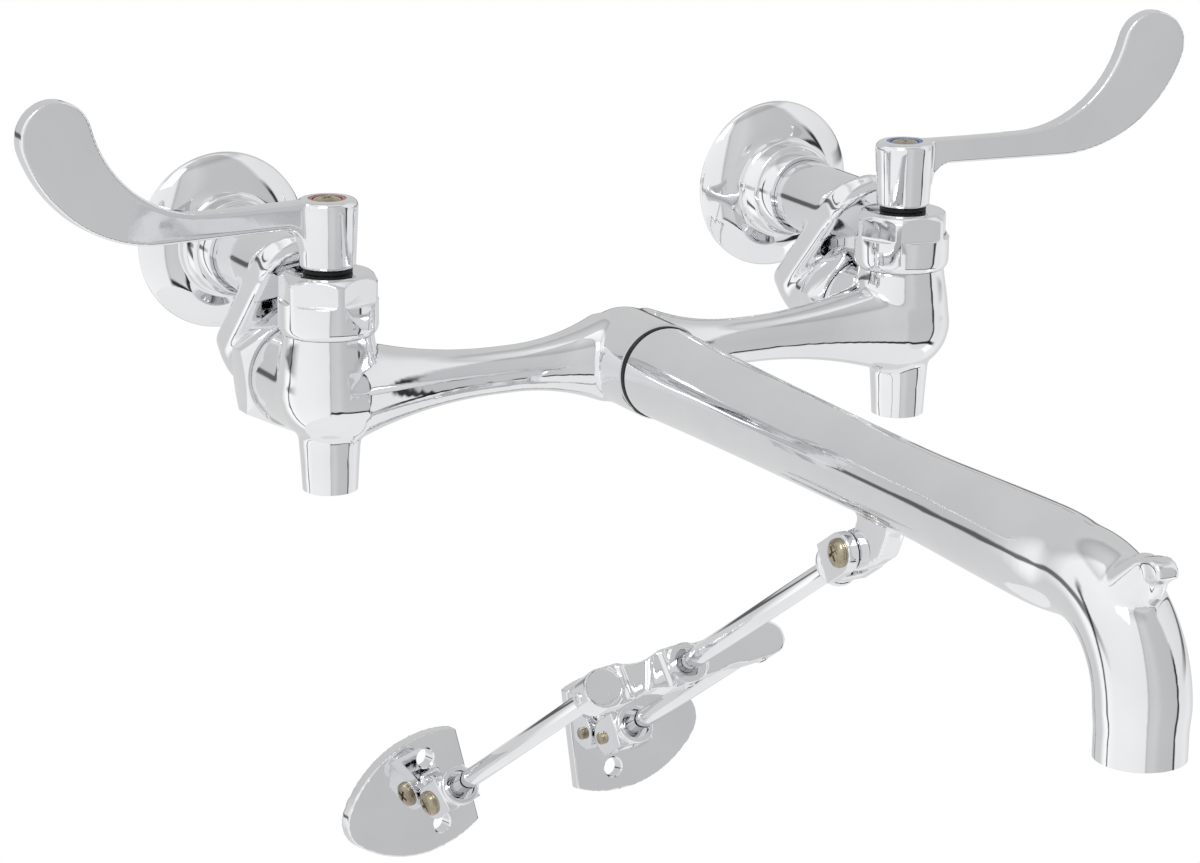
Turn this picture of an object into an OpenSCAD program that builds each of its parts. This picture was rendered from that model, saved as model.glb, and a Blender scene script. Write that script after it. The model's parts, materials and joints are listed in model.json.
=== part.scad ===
// Wall-mounted service sink faucet: two valves joined by cross arms, a rigid
// spout with a pail hook, swinging inlets and an adjustable brace to the wall.
// The origin is on the wall, midway between the two supply inlets.
// X runs along the wall, -Y points away from it and Z is up.

/* [Faucet layout] */
// Distance between the two valve axes
valve_spacing = 203.2; // [195:0.1:240]
// Distance from the wall to the valve axes
valve_reach = 84; // [80:0.5:100]
// Height of the wall inlets above the spout axis
inlet_rise = 30; // [28:0.5:36]

/* [Cross arms and hub] */
// Smallest radius of the cross arms
arm_waist_r = 7.45; // [6.5:0.05:9]
// Distance from the hub centre to the waist of each arm
arm_waist_x = 40; // [36:0.5:44]
// Radius of the arc that flares an arm into the hub
hub_flare_r = 77; // [70:1:100]
// Radius of the arc that flares an arm into its valve
valve_flare_r = 144.7; // [120:0.1:160]
// Radius of the hub
hub_r = 15.2; // [14.8:0.1:17]
// Length of the hub in front of the valve axes
hub_length = 24.6; // [22:0.1:32]
// Radius of the waterway in the cross arms
arm_bore_r = 4.5; // [3:0.1:5]

/* [Valve bodies] */
// Radius of the round valve bulb
bulb_r = 16.2; // [15.8:0.1:18]
// Radius of the inlet collar behind the bulb
collar_r = 16; // [15:0.1:17]
// Distance from the valve axis to the back face of the inlet collar
collar_y = 22.5; // [21:0.1:26]
// Radius of the neck where it meets the bulb
neck_r = 15.9; // [15:0.1:16]
// Radius of the neck under the bonnet nut
neck_top_r = 13.8; // [13:0.1:14.5]
// Height of the neck above the spout axis
neck_top_z = 18.5; // [17:0.1:24]
// Radius of the bottom boss at its lower end
stop_boss_r = 8.5; // [7.5:0.1:10]
// Depth of the bottom boss below the spout axis
stop_boss_z = 30.9; // [28:0.1:36]
// Radius of the valve chamber above the seat
chamber_r = 8.5; // [8:0.1:9.5]
// Depth of the valve seat below the spout axis
seat_depth = 5; // [4.6:0.1:7]
// Radius of the hole in the valve seat
seat_hole_r = 4.2; // [3:0.1:5]

/* [Bonnet nuts and stems] */
// Width across the flats of a bonnet nut
bonnet_flats = 26; // [25:0.1:27.4]
// Height of a bonnet nut
bonnet_h = 19; // [16:0.1:24]
// Height of the round lower part of the nut, below its flats
bonnet_round_h = 10.2; // [8:0.1:12]
// Radius of the round part
bonnet_r = 14.3; // [14:0.05:15]
// Turn of the left bonnet nut about its axis
bonnet_turn_left = 25; // [0:1:60]
// Turn of the right bonnet nut about its axis
bonnet_turn_right = 52; // [0:1:60]
// Radius of the threaded skirt below a bonnet nut
skirt_r = 10.5; // [10:0.05:11]
// Length of the threaded skirt
skirt_h = 10; // [6:0.1:12]
// Radius of a valve stem
stem_r = 4; // [3.2:0.05:4.5]
// Radius of the rubber washer at the foot of a stem
washer_r = 6.4; // [6:0.1:7.5]
// Thickness of that washer
washer_h = 3; // [2:0.1:4]
// Radius of the black ring under a handle
seal_r = 8.2; // [7.8:0.05:9]
// Thickness of that ring
seal_h = 1.2; // [1:0.1:3]

/* [Wristblade handles] */
// Radius of a handle hub at its top
handle_hub_r = 9.45; // [9:0.05:11]
// Radius of a handle hub at its foot
handle_foot_r = 8.5; // [8:0.05:9.4]
// Height of a handle hub
handle_hub_h = 20.95; // [17:0.05:24]
// Radius of the fillet under the arm at its hub
handle_fillet_r = 6; // [4:0.5:8]
// Distance from the valve axis to the bend of a handle
handle_straight = 55; // [50:0.5:60]
// Height of a handle arm
handle_arm_h = 7.4; // [6:0.1:9]
// Thickness of a handle blade
blade_t = 5.5; // [4:0.1:7]
// Radius of the outer edge of a handle's bend
blade_outer_r = 46.2; // [42:0.1:50]
// Radius of the round end of a blade
blade_tip_r = 10.8; // [9.5:0.1:13]
// Distance from the valve axis to the start of the inner curve of a blade
blade_inner_x = 40; // [36:0.5:46]
// Slope of the line from the bend's centre down to the round end
blade_tip_angle = 19.9; // [12:0.1:28]
// Turn of the left handle towards the front
handle_turn_left = 4.5; // [-10:0.5:10]
// Turn of the right handle towards the front
handle_turn_right = 6.8; // [-10:0.1:10]
// Outer radius of the coloured index ring
index_ring_r = 5.8; // [5.4:0.05:6.4]
// Radius of a handle screw head
handle_screw_r = 4.6; // [3.6:0.05:4.8]
// Radius of a handle screw shank
handle_shank_r = 2; // [1.5:0.05:2.4]

/* [Inlets] */
// Width across the flats of a union nut
union_flats = 35; // [34:0.1:38]
// Length of a union nut
union_length = 11; // [10:0.1:13]
// Radius of the threaded shank inside a union nut
union_thread_r = 13; // [12.4:0.05:13.5]
// Turn of the left union nut about its axis
union_turn_left = 25; // [0:1:60]
// Turn of the right union nut about its axis
union_turn_right = 15; // [0:1:60]
// Radius of the swing arm pipe
pipe_r = 12; // [11.2:0.05:13]
// Thickness of the slanted link of a swing arm
link_t = 9.5; // [8:0.1:12]
// Distance from the valve axis to the front of the link, at the spout axis height
link_y = 54; // [53:0.5:60]
// Radius of the boss that enters the union nut
boss_r = 11; // [10:0.05:11.4]
// Tapping radius of the female supply thread
supply_thread_r = 9.3; // [8:0.05:10]
// Depth of that thread
supply_thread_depth = 16; // [12:0.5:20]

/* [Wall flanges] */
// Radius of a wall flange
flange_r = 28.5; // [25:0.1:34]
// Thickness of its rim
flange_rim = 2; // [1.5:0.1:3]
// Length of a wall flange along the pipe
flange_length = 22; // [19:0.5:26]
// Depth of the dished part of a flange
flange_dish = 6.5; // [5:0.1:8]

/* [Spout] */
// Radius of the spout at the hub
spout_root_r = 14.4; // [14:0.05:15]
// Radius of the slimmest part of the spout
spout_waist_r = 12.4; // [12:0.05:13.4]
// Radius of the swelling before the bend
spout_swell_r = 13.8; // [13.4:0.05:15]
// Distance from the valve axes to the outlet axis
spout_reach = 281; // [260:1:320]
// Centre line radius of the bend
bend_r = 28.5; // [26:0.5:34]
// Radius of the tube in the bend
bend_tube_r = 12.8; // [12.4:0.05:13.6]
// Radius of the outlet end
outlet_r = 12.3; // [11.6:0.05:12.4]
// Radius of the outlet bore
outlet_bore_r = 9.5; // [8:0.05:10.5]
// Depth of the outlet below the spout axis
outlet_drop = 41.8; // [38:0.1:60]
// Radius of the nipple that enters the hub
nipple_r = 10.4; // [9.5:0.05:11]
// Thickness of the gasket between hub and spout
spout_gasket_t = 1.8; // [1:0.1:3]
// Width of the pail hook
hook_w = 6.4; // [5:0.1:9]
// Radius of the pail hook's flared base inside the spout
horn_root_r = 12.6; // [11:0.1:13]
// Radius of that base at its top
horn_top_r = 5.5; // [4.5:0.1:7]
// Length of that base
horn_length = 17; // [14:0.5:18]
// Tilt of that base towards the outlet
horn_tilt = 32; // [26:1:38]

/* [Brace] */
// Distance from the valve axes to the brace hinge under the spout
brace_hinge_y = 141.8; // [130:0.5:160]
// Depth of that hinge below the spout axis
brace_hinge_drop = 25; // [24:0.1:30]
// Slope of the brace below the horizontal
brace_slope = 33; // [28:0.5:38]
// Roll of the brace about its upper rod, right side up
brace_roll = 7; // [-10:0.5:10]
// Radius of the brace rods
rod_r = 3.175; // [2.5:0.005:4]
// Distance from the spout hinge to the middle of the crossbar
crossbar_y = 122; // [110:1:135]
// Distance from the middle of the crossbar to each leg
leg_offset = 31; // [28:0.5:36]
// Length of the crossbar along the rods
crossbar_t = 10; // [9:0.1:14]
// Radius of the crossbar bosses
crossbar_boss_r = 6.5; // [6:0.1:8]
// Radius of its right boss
crossbar_end_r = 5.4; // [5.2:0.1:6.5]
// Half height of the crossbar at its waists
crossbar_waist = 4.7; // [4:0.1:5.2]
// Distance from the wall to the hinge of the left wall plate
plate_hinge_left = 16; // [15:0.1:24]
// Distance from the wall to the hinge of the right wall plate
plate_hinge_right = 24.8; // [20:0.1:30]
// Roll of the left wall clevis about its leg
clevis_roll_left = 15.5; // [0:0.5:25]
// Roll of the right wall clevis about its leg
clevis_roll_right = 2.5; // [0:0.5:25]
// Lean of the left wall plate about its hinge
plate_lean_left = 3.5; // [0:0.5:12]
// Lean of the right wall plate about its hinge
plate_lean_right = 11; // [0:0.5:12]

/* [Clevises] */
// Thickness of the lugs inside the clevises
lug_t = 6; // [5:0.1:7]
// Radius of the round end of a lug
lug_r = 5.8; // [5:0.1:6.4]
// Thickness of a clevis ear
ear_t = 3.3; // [2.5:0.1:4]
// Radius of the round end of an ear
ear_r = 6; // [5:0.1:6.4]
// Distance from the hinge to the inner floor of a clevis
clevis_floor = 8.4; // [7:0.1:10]
// Distance from the hinge to the rim of the rod socket
clevis_length = 14.5; // [13:0.1:18]
// Radius of the collar round the rod socket
socket_r = 6.4; // [5.6:0.1:7.4]
// Radius of the hinge screw heads
hinge_head_r = 4.3; // [3.6:0.1:5]
// Radius of the hinge screws
hinge_pin_r = 2.1; // [1.6:0.05:2.6]

/* [Wall plates] */
// Length of a wall plate from its straight edge to its round end
plate_length = 49; // [45:0.5:55]
// Half length of the straight edge
plate_edge = 17.2; // [16:0.1:20]
// Radius of the long sides of a wall plate
plate_side_r = 40.4; // [37:0.1:48]
// Radius of its round end
plate_nose_r = 10; // [8:0.1:13]
// Thickness of a wall plate
plate_t = 5; // [4:0.1:6]
// Distance from the straight edge to the line of screw holes
plate_hole_x = 14.2; // [13:0.1:20]
// Distance between the two screw holes
plate_hole_spacing = 24.6; // [24:0.1:28]
// Radius of a screw hole
plate_hole_r = 3.25; // [2.5:0.05:3.5]
// Distance from a plate's front face to its hinge
plate_hinge_h = 7; // [6.8:0.1:12]

/* [Fits] */
// Radial clearance of parts that turn or slide in one another
running_gap = 0.05; // [0.02:0.01:0.1]
// Clearance on each side of a lug in its clevis
side_gap = 0.1; // [0.05:0.01:0.2]

/* [Hidden] */
$fa = 4;
$fs = 0.7;
big = 400;
LEFT = -1;
RIGHT = 1;

valve_x = valve_spacing / 2;

// Cross arms: each arc leaves the waist level and ends at the hub or at the bulb.
hub_join_x = 9;
flare_end_gap = 6;
valve_flare_turn = acos(1 - (bulb_r - arm_waist_r) / valve_flare_r);
valve_flare_x = valve_x - flare_end_gap - valve_flare_r * sin(valve_flare_turn);
hub_flare_turn = asin((arm_waist_x - hub_join_x) / hub_flare_r);

// Heights of the stem parts above the spout axis, from the neck up.
bonnet_top_z = neck_top_z + bonnet_h;
hub_foot_z = bonnet_top_z + seal_h;
handle_top_z = hub_foot_z + handle_hub_h;
stem_foot_z = washer_h - seat_depth;
stem_top_z = handle_top_z - 6;
stem_disc_h = 3;
index_recess = 1.2;
handle_top_round = 2;
screw_head_h = 1.5;
screw_tip_z = stem_top_z - 9;

// Handle outline, in the vertical plane through the valve axis.
arm_bottom_z = handle_top_z - handle_arm_h - 0.05;
blade_centre = [handle_straight, arm_bottom_z + blade_outer_r];
blade_tip = blade_centre + (blade_outer_r - blade_tip_r) * [cos(blade_tip_angle), -sin(blade_tip_angle)];
arm_top_z = arm_bottom_z + handle_arm_h;
tip_offset = blade_tip - [blade_inner_x, arm_top_z];
blade_inner_r = (pow(norm(tip_offset), 2) - pow(blade_tip_r, 2)) / (2 * (blade_tip_r + tip_offset[1]));
blade_inner = [blade_inner_x, arm_top_z + blade_inner_r];
inner_meet = blade_inner + blade_inner_r * (blade_tip - blade_inner) / norm(blade_tip - blade_inner);
outer_meet = blade_centre + blade_outer_r * [cos(blade_tip_angle), -sin(blade_tip_angle)];

// Valve casing.
neck_straight_h = 4;
stop_boss_flare = 1.4;
stop_boss_join = 10;

// Bonnet nuts: foot rounded in, top chamfered, as [distance in, distance from the end].
bonnet_foot = [[1.3, 0], [0.7, 0.4], [0.25, 1.2], [0, 2.6]];
bonnet_chamfer = [[0, 2.4], [1.5, 0.7], [2.3, 0]];

// Stop stem below the seat.
stop_bore_r = 5;
stop_slot_w = 1.4;
stop_slot_depth = 2;
stop_tip_taper = [0.6, 1.6];
stop_recess = 1.4;
stop_shoulder_z = -seat_depth - 9.5;
stop_tip_h = 3;

// Inlet unions, as distances behind the valve axis.
union_y = collar_y + 0.5;
union_back_y = union_y + union_length;
union_wall_t = 2.5;
tail_t = 1.8;
gasket_t = 1.5;
union_chamfer = 2.4;
union_face_in = 0.6;
tail_back_y = union_back_y - union_wall_t;
tail_y = tail_back_y - tail_t;
shank_y = tail_y - gasket_t;
inlet_bore_r = 7.5;
inlet_bore_end = chamber_r + 4;
elbow_r = boss_r + 0.4;
elbow_y = link_y + 1;
link_bore_r = 3.6;
flange_wall = 2.5;
flange_ring = 3.5;
flange_ring_y = 7.4;
link_length = inlet_rise * sqrt(2);

// Spout stations behind the outlet, measured along -Y from the valve axes.
spout_y = hub_length + spout_gasket_t;
bend_y = spout_reach - bend_r;
spout_waist_y = [150, 178];
spout_taper_y = [35, 60, 96];
spout_taper_in = [0.2, 0.8, 0.6];
swell_y = bend_y - 16.5;
swell_ramp = 32;
nipple_depth = 12;
waterway_r = nipple_r - 2.4;
spout_taper_z = bend_r + 5.5;

// Pail hook, as [distance towards the wall, height] from the outlet axis and the spout axis.
horn_root_y = 9;
horn_root_drop = 6;
hook_back = [[8, -4], [6.5, 6], [3, 10.3], [-1, 12.3]];
hook_nose = [-5, 9.8];
hook_nose_r = 3.4;
hook_notch = [[-5.6, 2.6], [-5.2, 0], [-4, -4]];

// Lug under the spout, as [distance towards the wall, height] from its hinge.
lug_root = 3;
lug_back = [[3.4, 4.6], [-3, 9]];
lug_front = [[-21, 11], [-19.5, 7.2], [-16.6, 2.4], [-11.2, -1], [-6, -3.6]];

// Brace.
rod_bore_r = rod_r + running_gap;
rod_overrun = 8;
leg_socket_depth = 8;
collar_lip = 2;
collar_lip_r = socket_r + 0.3;
rod_stop = clevis_floor + 0.6;
pin_bore_r = hinge_pin_r + running_gap;
hinge_head_h = 2.2;
pin_tail = 1.5;
set_screw_r = 2;
set_screw_out = 1;
plate_lug_flare = 1.2;

// Wall plate outline: each side arc leaves an end of the straight edge and meets the round end.
plate_corner = [0, plate_edge];
plate_nose = [plate_length - plate_nose_r, 0];
plate_span = norm(plate_nose - plate_corner);
plate_dir = (plate_nose - plate_corner) / plate_span;
plate_along = (pow(plate_side_r, 2) - pow(plate_side_r - plate_nose_r, 2) + pow(plate_span, 2))
    / (2 * plate_span);
plate_across = sqrt(pow(plate_side_r, 2) - pow(plate_along, 2));
plate_side = plate_corner + plate_along * plate_dir + plate_across * [plate_dir[1], -plate_dir[0]];
plate_nose_join = plate_side[0]
    + plate_side_r * (plate_nose[0] - plate_side[0]) / (plate_side_r - plate_nose_r);

function arc(centre, r, from, to, steps = 8) =
    [for (i = [0:steps]) centre + r * [cos(from + (to - from) * i / steps), sin(from + (to - from) * i / steps)]];

function leg_hinge(side) =
    (valve_reach - (side < 0 ? plate_hinge_left : plate_hinge_right) + brace_hinge_y
        - side * leg_offset * sin(brace_roll) * sin(brace_slope)) / cos(brace_slope);

// A round bar of radius r along +Y.
module bar_y(r, from, to) {
    translate([0, from, 0])
        rotate([-90, 0, 0])
            cylinder(r = r, h = to - from);
}

// A round bar of radius r along +X.
module bar_x(r, from, to) {
    translate([from, 0, 0])
        rotate([0, 90, 0])
            cylinder(r = r, h = to - from);
}

// A body of revolution about Y from [radius, y] points.
module turned_y(points) {
    rotate([-90, 0, 0])
        rotate_extrude()
            polygon(points);
}

module at_valve(side) {
    translate([side * valve_x, -valve_reach, -inlet_rise])
        children();
}

module at_hub() {
    translate([0, -valve_reach, -inlet_rise])
        children();
}

// ---- Main casting ----

arm_half = concat([[arm_waist_r + hub_flare_r * (1 - cos(hub_flare_turn)), 0]],
    arc([arm_waist_r + hub_flare_r, arm_waist_x], hub_flare_r, 180 + hub_flare_turn, 180),
    arc([arm_waist_r + valve_flare_r, valve_flare_x], valve_flare_r, 180, 180 - valve_flare_turn),
    arc([0, valve_x], bulb_r, 0, 90));

// Both arms and both bulbs, turned about X.
module cross_arms() {
    other_half = [for (i = [len(arm_half) - 1:-1:1]) [arm_half[i][0], -arm_half[i][1]]];
    rotate([0, 90, 0])
        rotate_extrude()
            polygon(concat(other_half, arm_half));
}

// Domed at the back, open at the front for the spout.
module hub() {
    turned_y(concat([[0, -hub_length], [hub_r, -hub_length]],
        arc([0, 0], hub_r, 0, 90)));
}

module valve_casing() {
    neck_curve_h = neck_top_z - neck_straight_h;
    drop = neck_r - neck_top_r;
    curve_r = (pow(neck_curve_h, 2) + pow(drop, 2)) / (2 * drop);
    rotate_extrude()
        polygon(concat([[0, 0]],
            arc([neck_r - curve_r, 0], curve_r, 0, asin(neck_curve_h / curve_r)),
            [[neck_top_r, neck_top_z], [0, neck_top_z]]));
    translate([0, 0, -stop_boss_z])
        cylinder(r1 = stop_boss_r, r2 = stop_boss_r + stop_boss_flare, h = stop_boss_z - stop_boss_join);
    bar_y(collar_r, 0, collar_y);
    bar_y(union_thread_r, 0, shank_y);
}

// Supply enters behind, drops below the seat and rises through it to the arm.
module valve_bores(side) {
    translate([0, 0, neck_top_z - skirt_h])
        cylinder(r = skirt_r + running_gap, h = big);
    translate([0, 0, -seat_depth])
        cylinder(r = chamber_r, h = big);
    translate([0, 0, stop_shoulder_z])
        cylinder(r = seat_hole_r, h = big);
    translate([0, 0, stop_shoulder_z - big])
        cylinder(r = stop_bore_r + running_gap, h = big);
    bar_y(inlet_bore_r, inlet_bore_end, big);
    translate([0, 0, stop_shoulder_z + 4])
        rotate([45, 0, 0])
            bar_y(seat_hole_r - 1, 0, inlet_bore_end * sqrt(2));
    bar_x(arm_bore_r, side > 0 ? -valve_x : 0, side > 0 ? 0 : valve_x);
}

module faucet_body() color("silver") {
    difference() {
        union() {
            at_hub() cross_arms();
            at_hub() hub();
            for (side = [LEFT, RIGHT])
                at_valve(side) valve_casing();
        }
        for (side = [LEFT, RIGHT])
            at_valve(side) valve_bores(side);
        at_hub() bar_y(nipple_r + running_gap, -hub_length - 1, -spout_y + nipple_depth + 2);
        at_hub() bar_y(arm_bore_r, -hub_length, 0);
    }
}

// ---- Bonnets and stems ----

// A round nut with a rounded foot and six flats milled into its upper part.
module bonnet_nut(turn) {
    foot = [for (p = bonnet_foot) [bonnet_r - p[0], neck_top_z + p[1]]];
    top = [for (p = bonnet_chamfer) [bonnet_r - p[0], bonnet_top_z - p[1]]];
    difference() {
        union() {
            intersection() {
                rotate_extrude()
                    polygon(concat([[0, neck_top_z]], foot, top, [[0, bonnet_top_z]]));
                union() {
                    translate([0, 0, neck_top_z])
                        cylinder(r = bonnet_r + 1, h = bonnet_round_h);
                    translate([0, 0, neck_top_z])
                        rotate([0, 0, turn])
                            cylinder(r = bonnet_flats / sqrt(3), h = bonnet_h, $fn = 6);
                }
            }
            translate([0, 0, neck_top_z - skirt_h])
                cylinder(r = skirt_r, h = skirt_h + 1);
        }
        translate([0, 0, -big / 2])
            cylinder(r = stem_r + running_gap, h = big);
    }
}

module stem_seal() {
    translate([0, 0, bonnet_top_z])
        difference() {
            cylinder(r = seal_r, h = seal_h);
            translate([0, 0, -1])
                cylinder(r = stem_r + running_gap, h = seal_h + 2);
        }
}

module valve_stem() {
    difference() {
        union() {
            translate([0, 0, stem_foot_z])
                cylinder(r = stem_r, h = stem_top_z - stem_foot_z);
            translate([0, 0, stem_foot_z])
                cylinder(r = washer_r, h = stem_disc_h);
        }
        translate([0, 0, screw_tip_z])
            cylinder(r = handle_shank_r, h = big);
    }
}

module seat_washer() {
    translate([0, 0, -seat_depth])
        cylinder(r = washer_r, h = washer_h);
}

module bonnet_nut_left() color("silver") at_valve(LEFT) bonnet_nut(bonnet_turn_left);
module bonnet_nut_right() color("silver") at_valve(RIGHT) bonnet_nut(bonnet_turn_right);
module stem_seal_left() color("black") at_valve(LEFT) stem_seal();
module stem_seal_right() color("black") at_valve(RIGHT) stem_seal();
module valve_stem_left() color("goldenrod") at_valve(LEFT) valve_stem();
module valve_stem_right() color("goldenrod") at_valve(RIGHT) valve_stem();
module seat_washer_left() color("dimgray") at_valve(LEFT) seat_washer();
module seat_washer_right() color("dimgray") at_valve(RIGHT) seat_washer();

// ---- Handles ----

// The arm and its upswept blade, as x along the arm and y upwards.
module blade_outline() {
    translate([0, arm_bottom_z])
        square([handle_straight, handle_arm_h]);
    difference() {
        translate([handle_hub_r - 1, arm_bottom_z - handle_fillet_r])
            square([handle_fillet_r + 0.6, handle_fillet_r + 1]);
        translate([handle_hub_r - 0.4 + handle_fillet_r, arm_bottom_z - handle_fillet_r])
            circle(handle_fillet_r);
    }
    difference() {
        intersection() {
            translate(blade_centre)
                circle(blade_outer_r);
            polygon([[blade_inner_x, 0], [blade_inner_x, inner_meet[1]], inner_meet, outer_meet,
                [outer_meet[0], 0]]);
        }
        translate(blade_inner)
            circle(blade_inner_r);
    }
    translate(blade_tip)
        circle(blade_tip_r);
}

module wristblade() {
    recess_z = handle_top_z - index_recess;
    difference() {
        union() {
            rotate_extrude()
                polygon(concat([[0, hub_foot_z], [handle_foot_r, hub_foot_z]],
                    arc([handle_hub_r - handle_top_round, handle_top_z - handle_top_round],
                        handle_top_round, 0, 90, 4),
                    [[0, handle_top_z]]));
            translate([0, blade_t / 2, 0])
                rotate([90, 0, 0])
                    linear_extrude(blade_t)
                        blade_outline();
        }
        translate([0, 0, recess_z])
            cylinder(r = index_ring_r + running_gap, h = big);
        translate([0, 0, hub_foot_z - 1])
            cylinder(r = stem_r + running_gap, h = stem_top_z - hub_foot_z + 1);
        translate([0, 0, hub_foot_z])
            cylinder(r = handle_shank_r + running_gap, h = big);
    }
}

module index_ring() {
    translate([0, 0, handle_top_z - index_recess])
        difference() {
            cylinder(r = index_ring_r, h = index_recess - 0.2);
            translate([0, 0, -1])
                cylinder(r = handle_screw_r + running_gap, h = 3);
        }
}

module handle_screw() {
    translate([0, 0, handle_top_z - index_recess])
        cylinder(r1 = handle_screw_r, r2 = handle_screw_r - 0.6, h = screw_head_h);
    translate([0, 0, screw_tip_z])
        cylinder(r = handle_shank_r, h = handle_top_z - index_recess - screw_tip_z);
}

module handle_left() color("silver") at_valve(LEFT) rotate(180 + handle_turn_left) wristblade();
module handle_right() color("silver") at_valve(RIGHT) rotate(-handle_turn_right) wristblade();
module index_ring_left() color("brown") at_valve(LEFT) index_ring();
module index_ring_right() color("steelblue") at_valve(RIGHT) index_ring();
module handle_screw_left() color("tan") at_valve(LEFT) handle_screw();
module handle_screw_right() color("tan") at_valve(RIGHT) handle_screw();

// ---- Stops under the valves ----

module stop_stem() {
    foot_z = -stop_boss_z + stop_recess;
    difference() {
        union() {
            translate([0, 0, foot_z])
                cylinder(r = stop_bore_r, h = stop_shoulder_z - foot_z);
            translate([0, 0, stop_shoulder_z])
                cylinder(r1 = seat_hole_r - stop_tip_taper[0], r2 = seat_hole_r - stop_tip_taper[1],
                    h = stop_tip_h);
        }
        translate([-stop_bore_r - 1, -stop_slot_w / 2, foot_z - 1])
            cube([2 * stop_bore_r + 2, stop_slot_w, stop_slot_depth + 1]);
    }
}

module stop_stem_left() color("goldenrod") at_valve(LEFT) stop_stem();
module stop_stem_right() color("goldenrod") at_valve(RIGHT) stop_stem();

// ---- Inlets ----

// A hexagonal nut with a shoulder at its back that holds the tail of the swing arm.
module union_nut(turn) {
    corner_r = union_flats / sqrt(3);
    face_r = union_flats / 2 - union_face_in;
    difference() {
        intersection() {
            translate([0, union_y, 0])
                rotate([-90, turn, 0])
                    cylinder(r = corner_r, h = union_length, $fn = 6);
            turned_y([[0, union_y], [face_r, union_y], [corner_r + 0.1, union_y + union_chamfer],
                [corner_r + 0.1, union_back_y - union_chamfer], [face_r, union_back_y], [0, union_back_y]]);
        }
        bar_y(union_thread_r + running_gap, union_y - 1, tail_back_y);
        bar_y(boss_r + running_gap, union_y - 1, union_back_y + 1);
    }
}

module inlet_gasket() {
    difference() {
        bar_y(union_thread_r - 0.2, shank_y, tail_y);
        bar_y(inlet_bore_r, shank_y - 1, tail_y + 1);
    }
}

// Y and Z turned so that +Z runs up the slant of the link and +Y through its thickness.
module in_link() {
    translate([0, link_y, 0])
        rotate([45, 0, 0])
            children();
}

module link_plate() {
    rotate([-90, 0, 0])
        linear_extrude(link_t) {
            circle(pipe_r);
            translate([0, -link_length])
                circle(pipe_r);
            translate([-pipe_r, -link_length])
                square([2 * pipe_r, link_length]);
        }
}

module swing_arm() {
    link_mid = link_t / 2;
    difference() {
        union() {
            difference() {
                translate([0, 0, inlet_rise])
                    bar_y(pipe_r, link_y - inlet_rise - pipe_r - 2, valve_reach);
                in_link()
                    translate([-big / 2, -big, -big / 2])
                        cube([big, big, big]);
            }
            in_link() link_plate();
            bar_y(boss_r, tail_y, elbow_y);
            bar_y(union_thread_r - 0.1, tail_y, tail_back_y);
            translate([0, elbow_y, 0])
                sphere(elbow_r);
        }
        bar_y(inlet_bore_r, tail_y - 1, elbow_y);
        in_link()
            translate([0, link_mid, 0])
                cylinder(r = link_bore_r, h = link_length);
        translate([0, 0, inlet_rise]) {
            bar_y(inlet_bore_r, link_y - inlet_rise + link_mid * sqrt(2), valve_reach + 1);
            bar_y(supply_thread_r, valve_reach - supply_thread_depth, valve_reach + 1);
        }
    }
}

// A dished round flange, hollow behind, on the pipe.
module wall_flange() {
    neck_r = pipe_r + 4.7;
    mouth_r = pipe_r + 1.4;
    dish_y = -flange_dish;
    translate([0, valve_reach, inlet_rise])
        turned_y(concat([[pipe_r + running_gap, -flange_length], [mouth_r, -flange_length],
            [pipe_r + flange_ring - 1, -flange_length + flange_ring_y - 0.4],
            [pipe_r + flange_ring, -flange_length + flange_ring_y],
            [pipe_r + flange_ring, dish_y - 2.5], [neck_r - 0.4, dish_y - 2], [neck_r, dish_y]],
            arc([neck_r + 2, dish_y + 1], 1, -140, -95, 3),
            arc([flange_r - flange_rim, 0], flange_rim, -80, 0, 4),
            [[flange_r - flange_rim, 0], [neck_r + 1, dish_y + flange_wall],
            [pipe_r + running_gap, dish_y + flange_wall]]));
}

module union_nut_left() color("silver") at_valve(LEFT) union_nut(union_turn_left);
module union_nut_right() color("silver") at_valve(RIGHT) union_nut(union_turn_right);
module inlet_gasket_left() color("black") at_valve(LEFT) inlet_gasket();
module inlet_gasket_right() color("black") at_valve(RIGHT) inlet_gasket();
module swing_arm_left() color("silver") at_valve(LEFT) swing_arm();
module swing_arm_right() color("silver") at_valve(RIGHT) swing_arm();
module wall_flange_left() color("silver") at_valve(LEFT) wall_flange();
module wall_flange_right() color("silver") at_valve(RIGHT) wall_flange();

// ---- Spout ----

module spout_gasket() color("black") {
    at_hub()
        difference() {
            bar_y(spout_root_r + 0.2, -spout_y, -hub_length);
            bar_y(nipple_r + running_gap, -spout_y - 1, 0);
        }
}

// A quarter bend of round section, from the spout's axis down to the outlet's.
module spout_bend(r) {
    translate([0, -bend_y, -bend_r])
        rotate([90, 0, -90])
            rotate_extrude(angle = 90)
                translate([bend_r, 0])
                    circle(r);
}

// The long tapered tube, its bend and its outlet, without the bore.
module spout_tube() {
    turned_y([[0, -bend_y], [bend_tube_r, -bend_y], [spout_swell_r, -swell_y],
        [(spout_swell_r + spout_waist_r) / 2, -swell_y + swell_ramp], [spout_waist_r, -spout_waist_y[1]],
        [spout_waist_r, -spout_waist_y[0]], [spout_waist_r + spout_taper_in[2], -spout_taper_y[2]],
        [spout_root_r - spout_taper_in[1], -spout_taper_y[1]],
        [spout_root_r - spout_taper_in[0], -spout_taper_y[0]], [spout_root_r, -spout_y], [0, -spout_y]]);
    bar_y(nipple_r, -spout_y, -spout_y + nipple_depth);
    spout_bend(bend_tube_r);
    translate([0, -spout_reach, -spout_taper_z])
        cylinder(r1 = outlet_r, r2 = bend_tube_r, h = spout_taper_z - bend_r);
    translate([0, -spout_reach, -outlet_drop])
        cylinder(r = outlet_r, h = outlet_drop - spout_taper_z);
}

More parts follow.
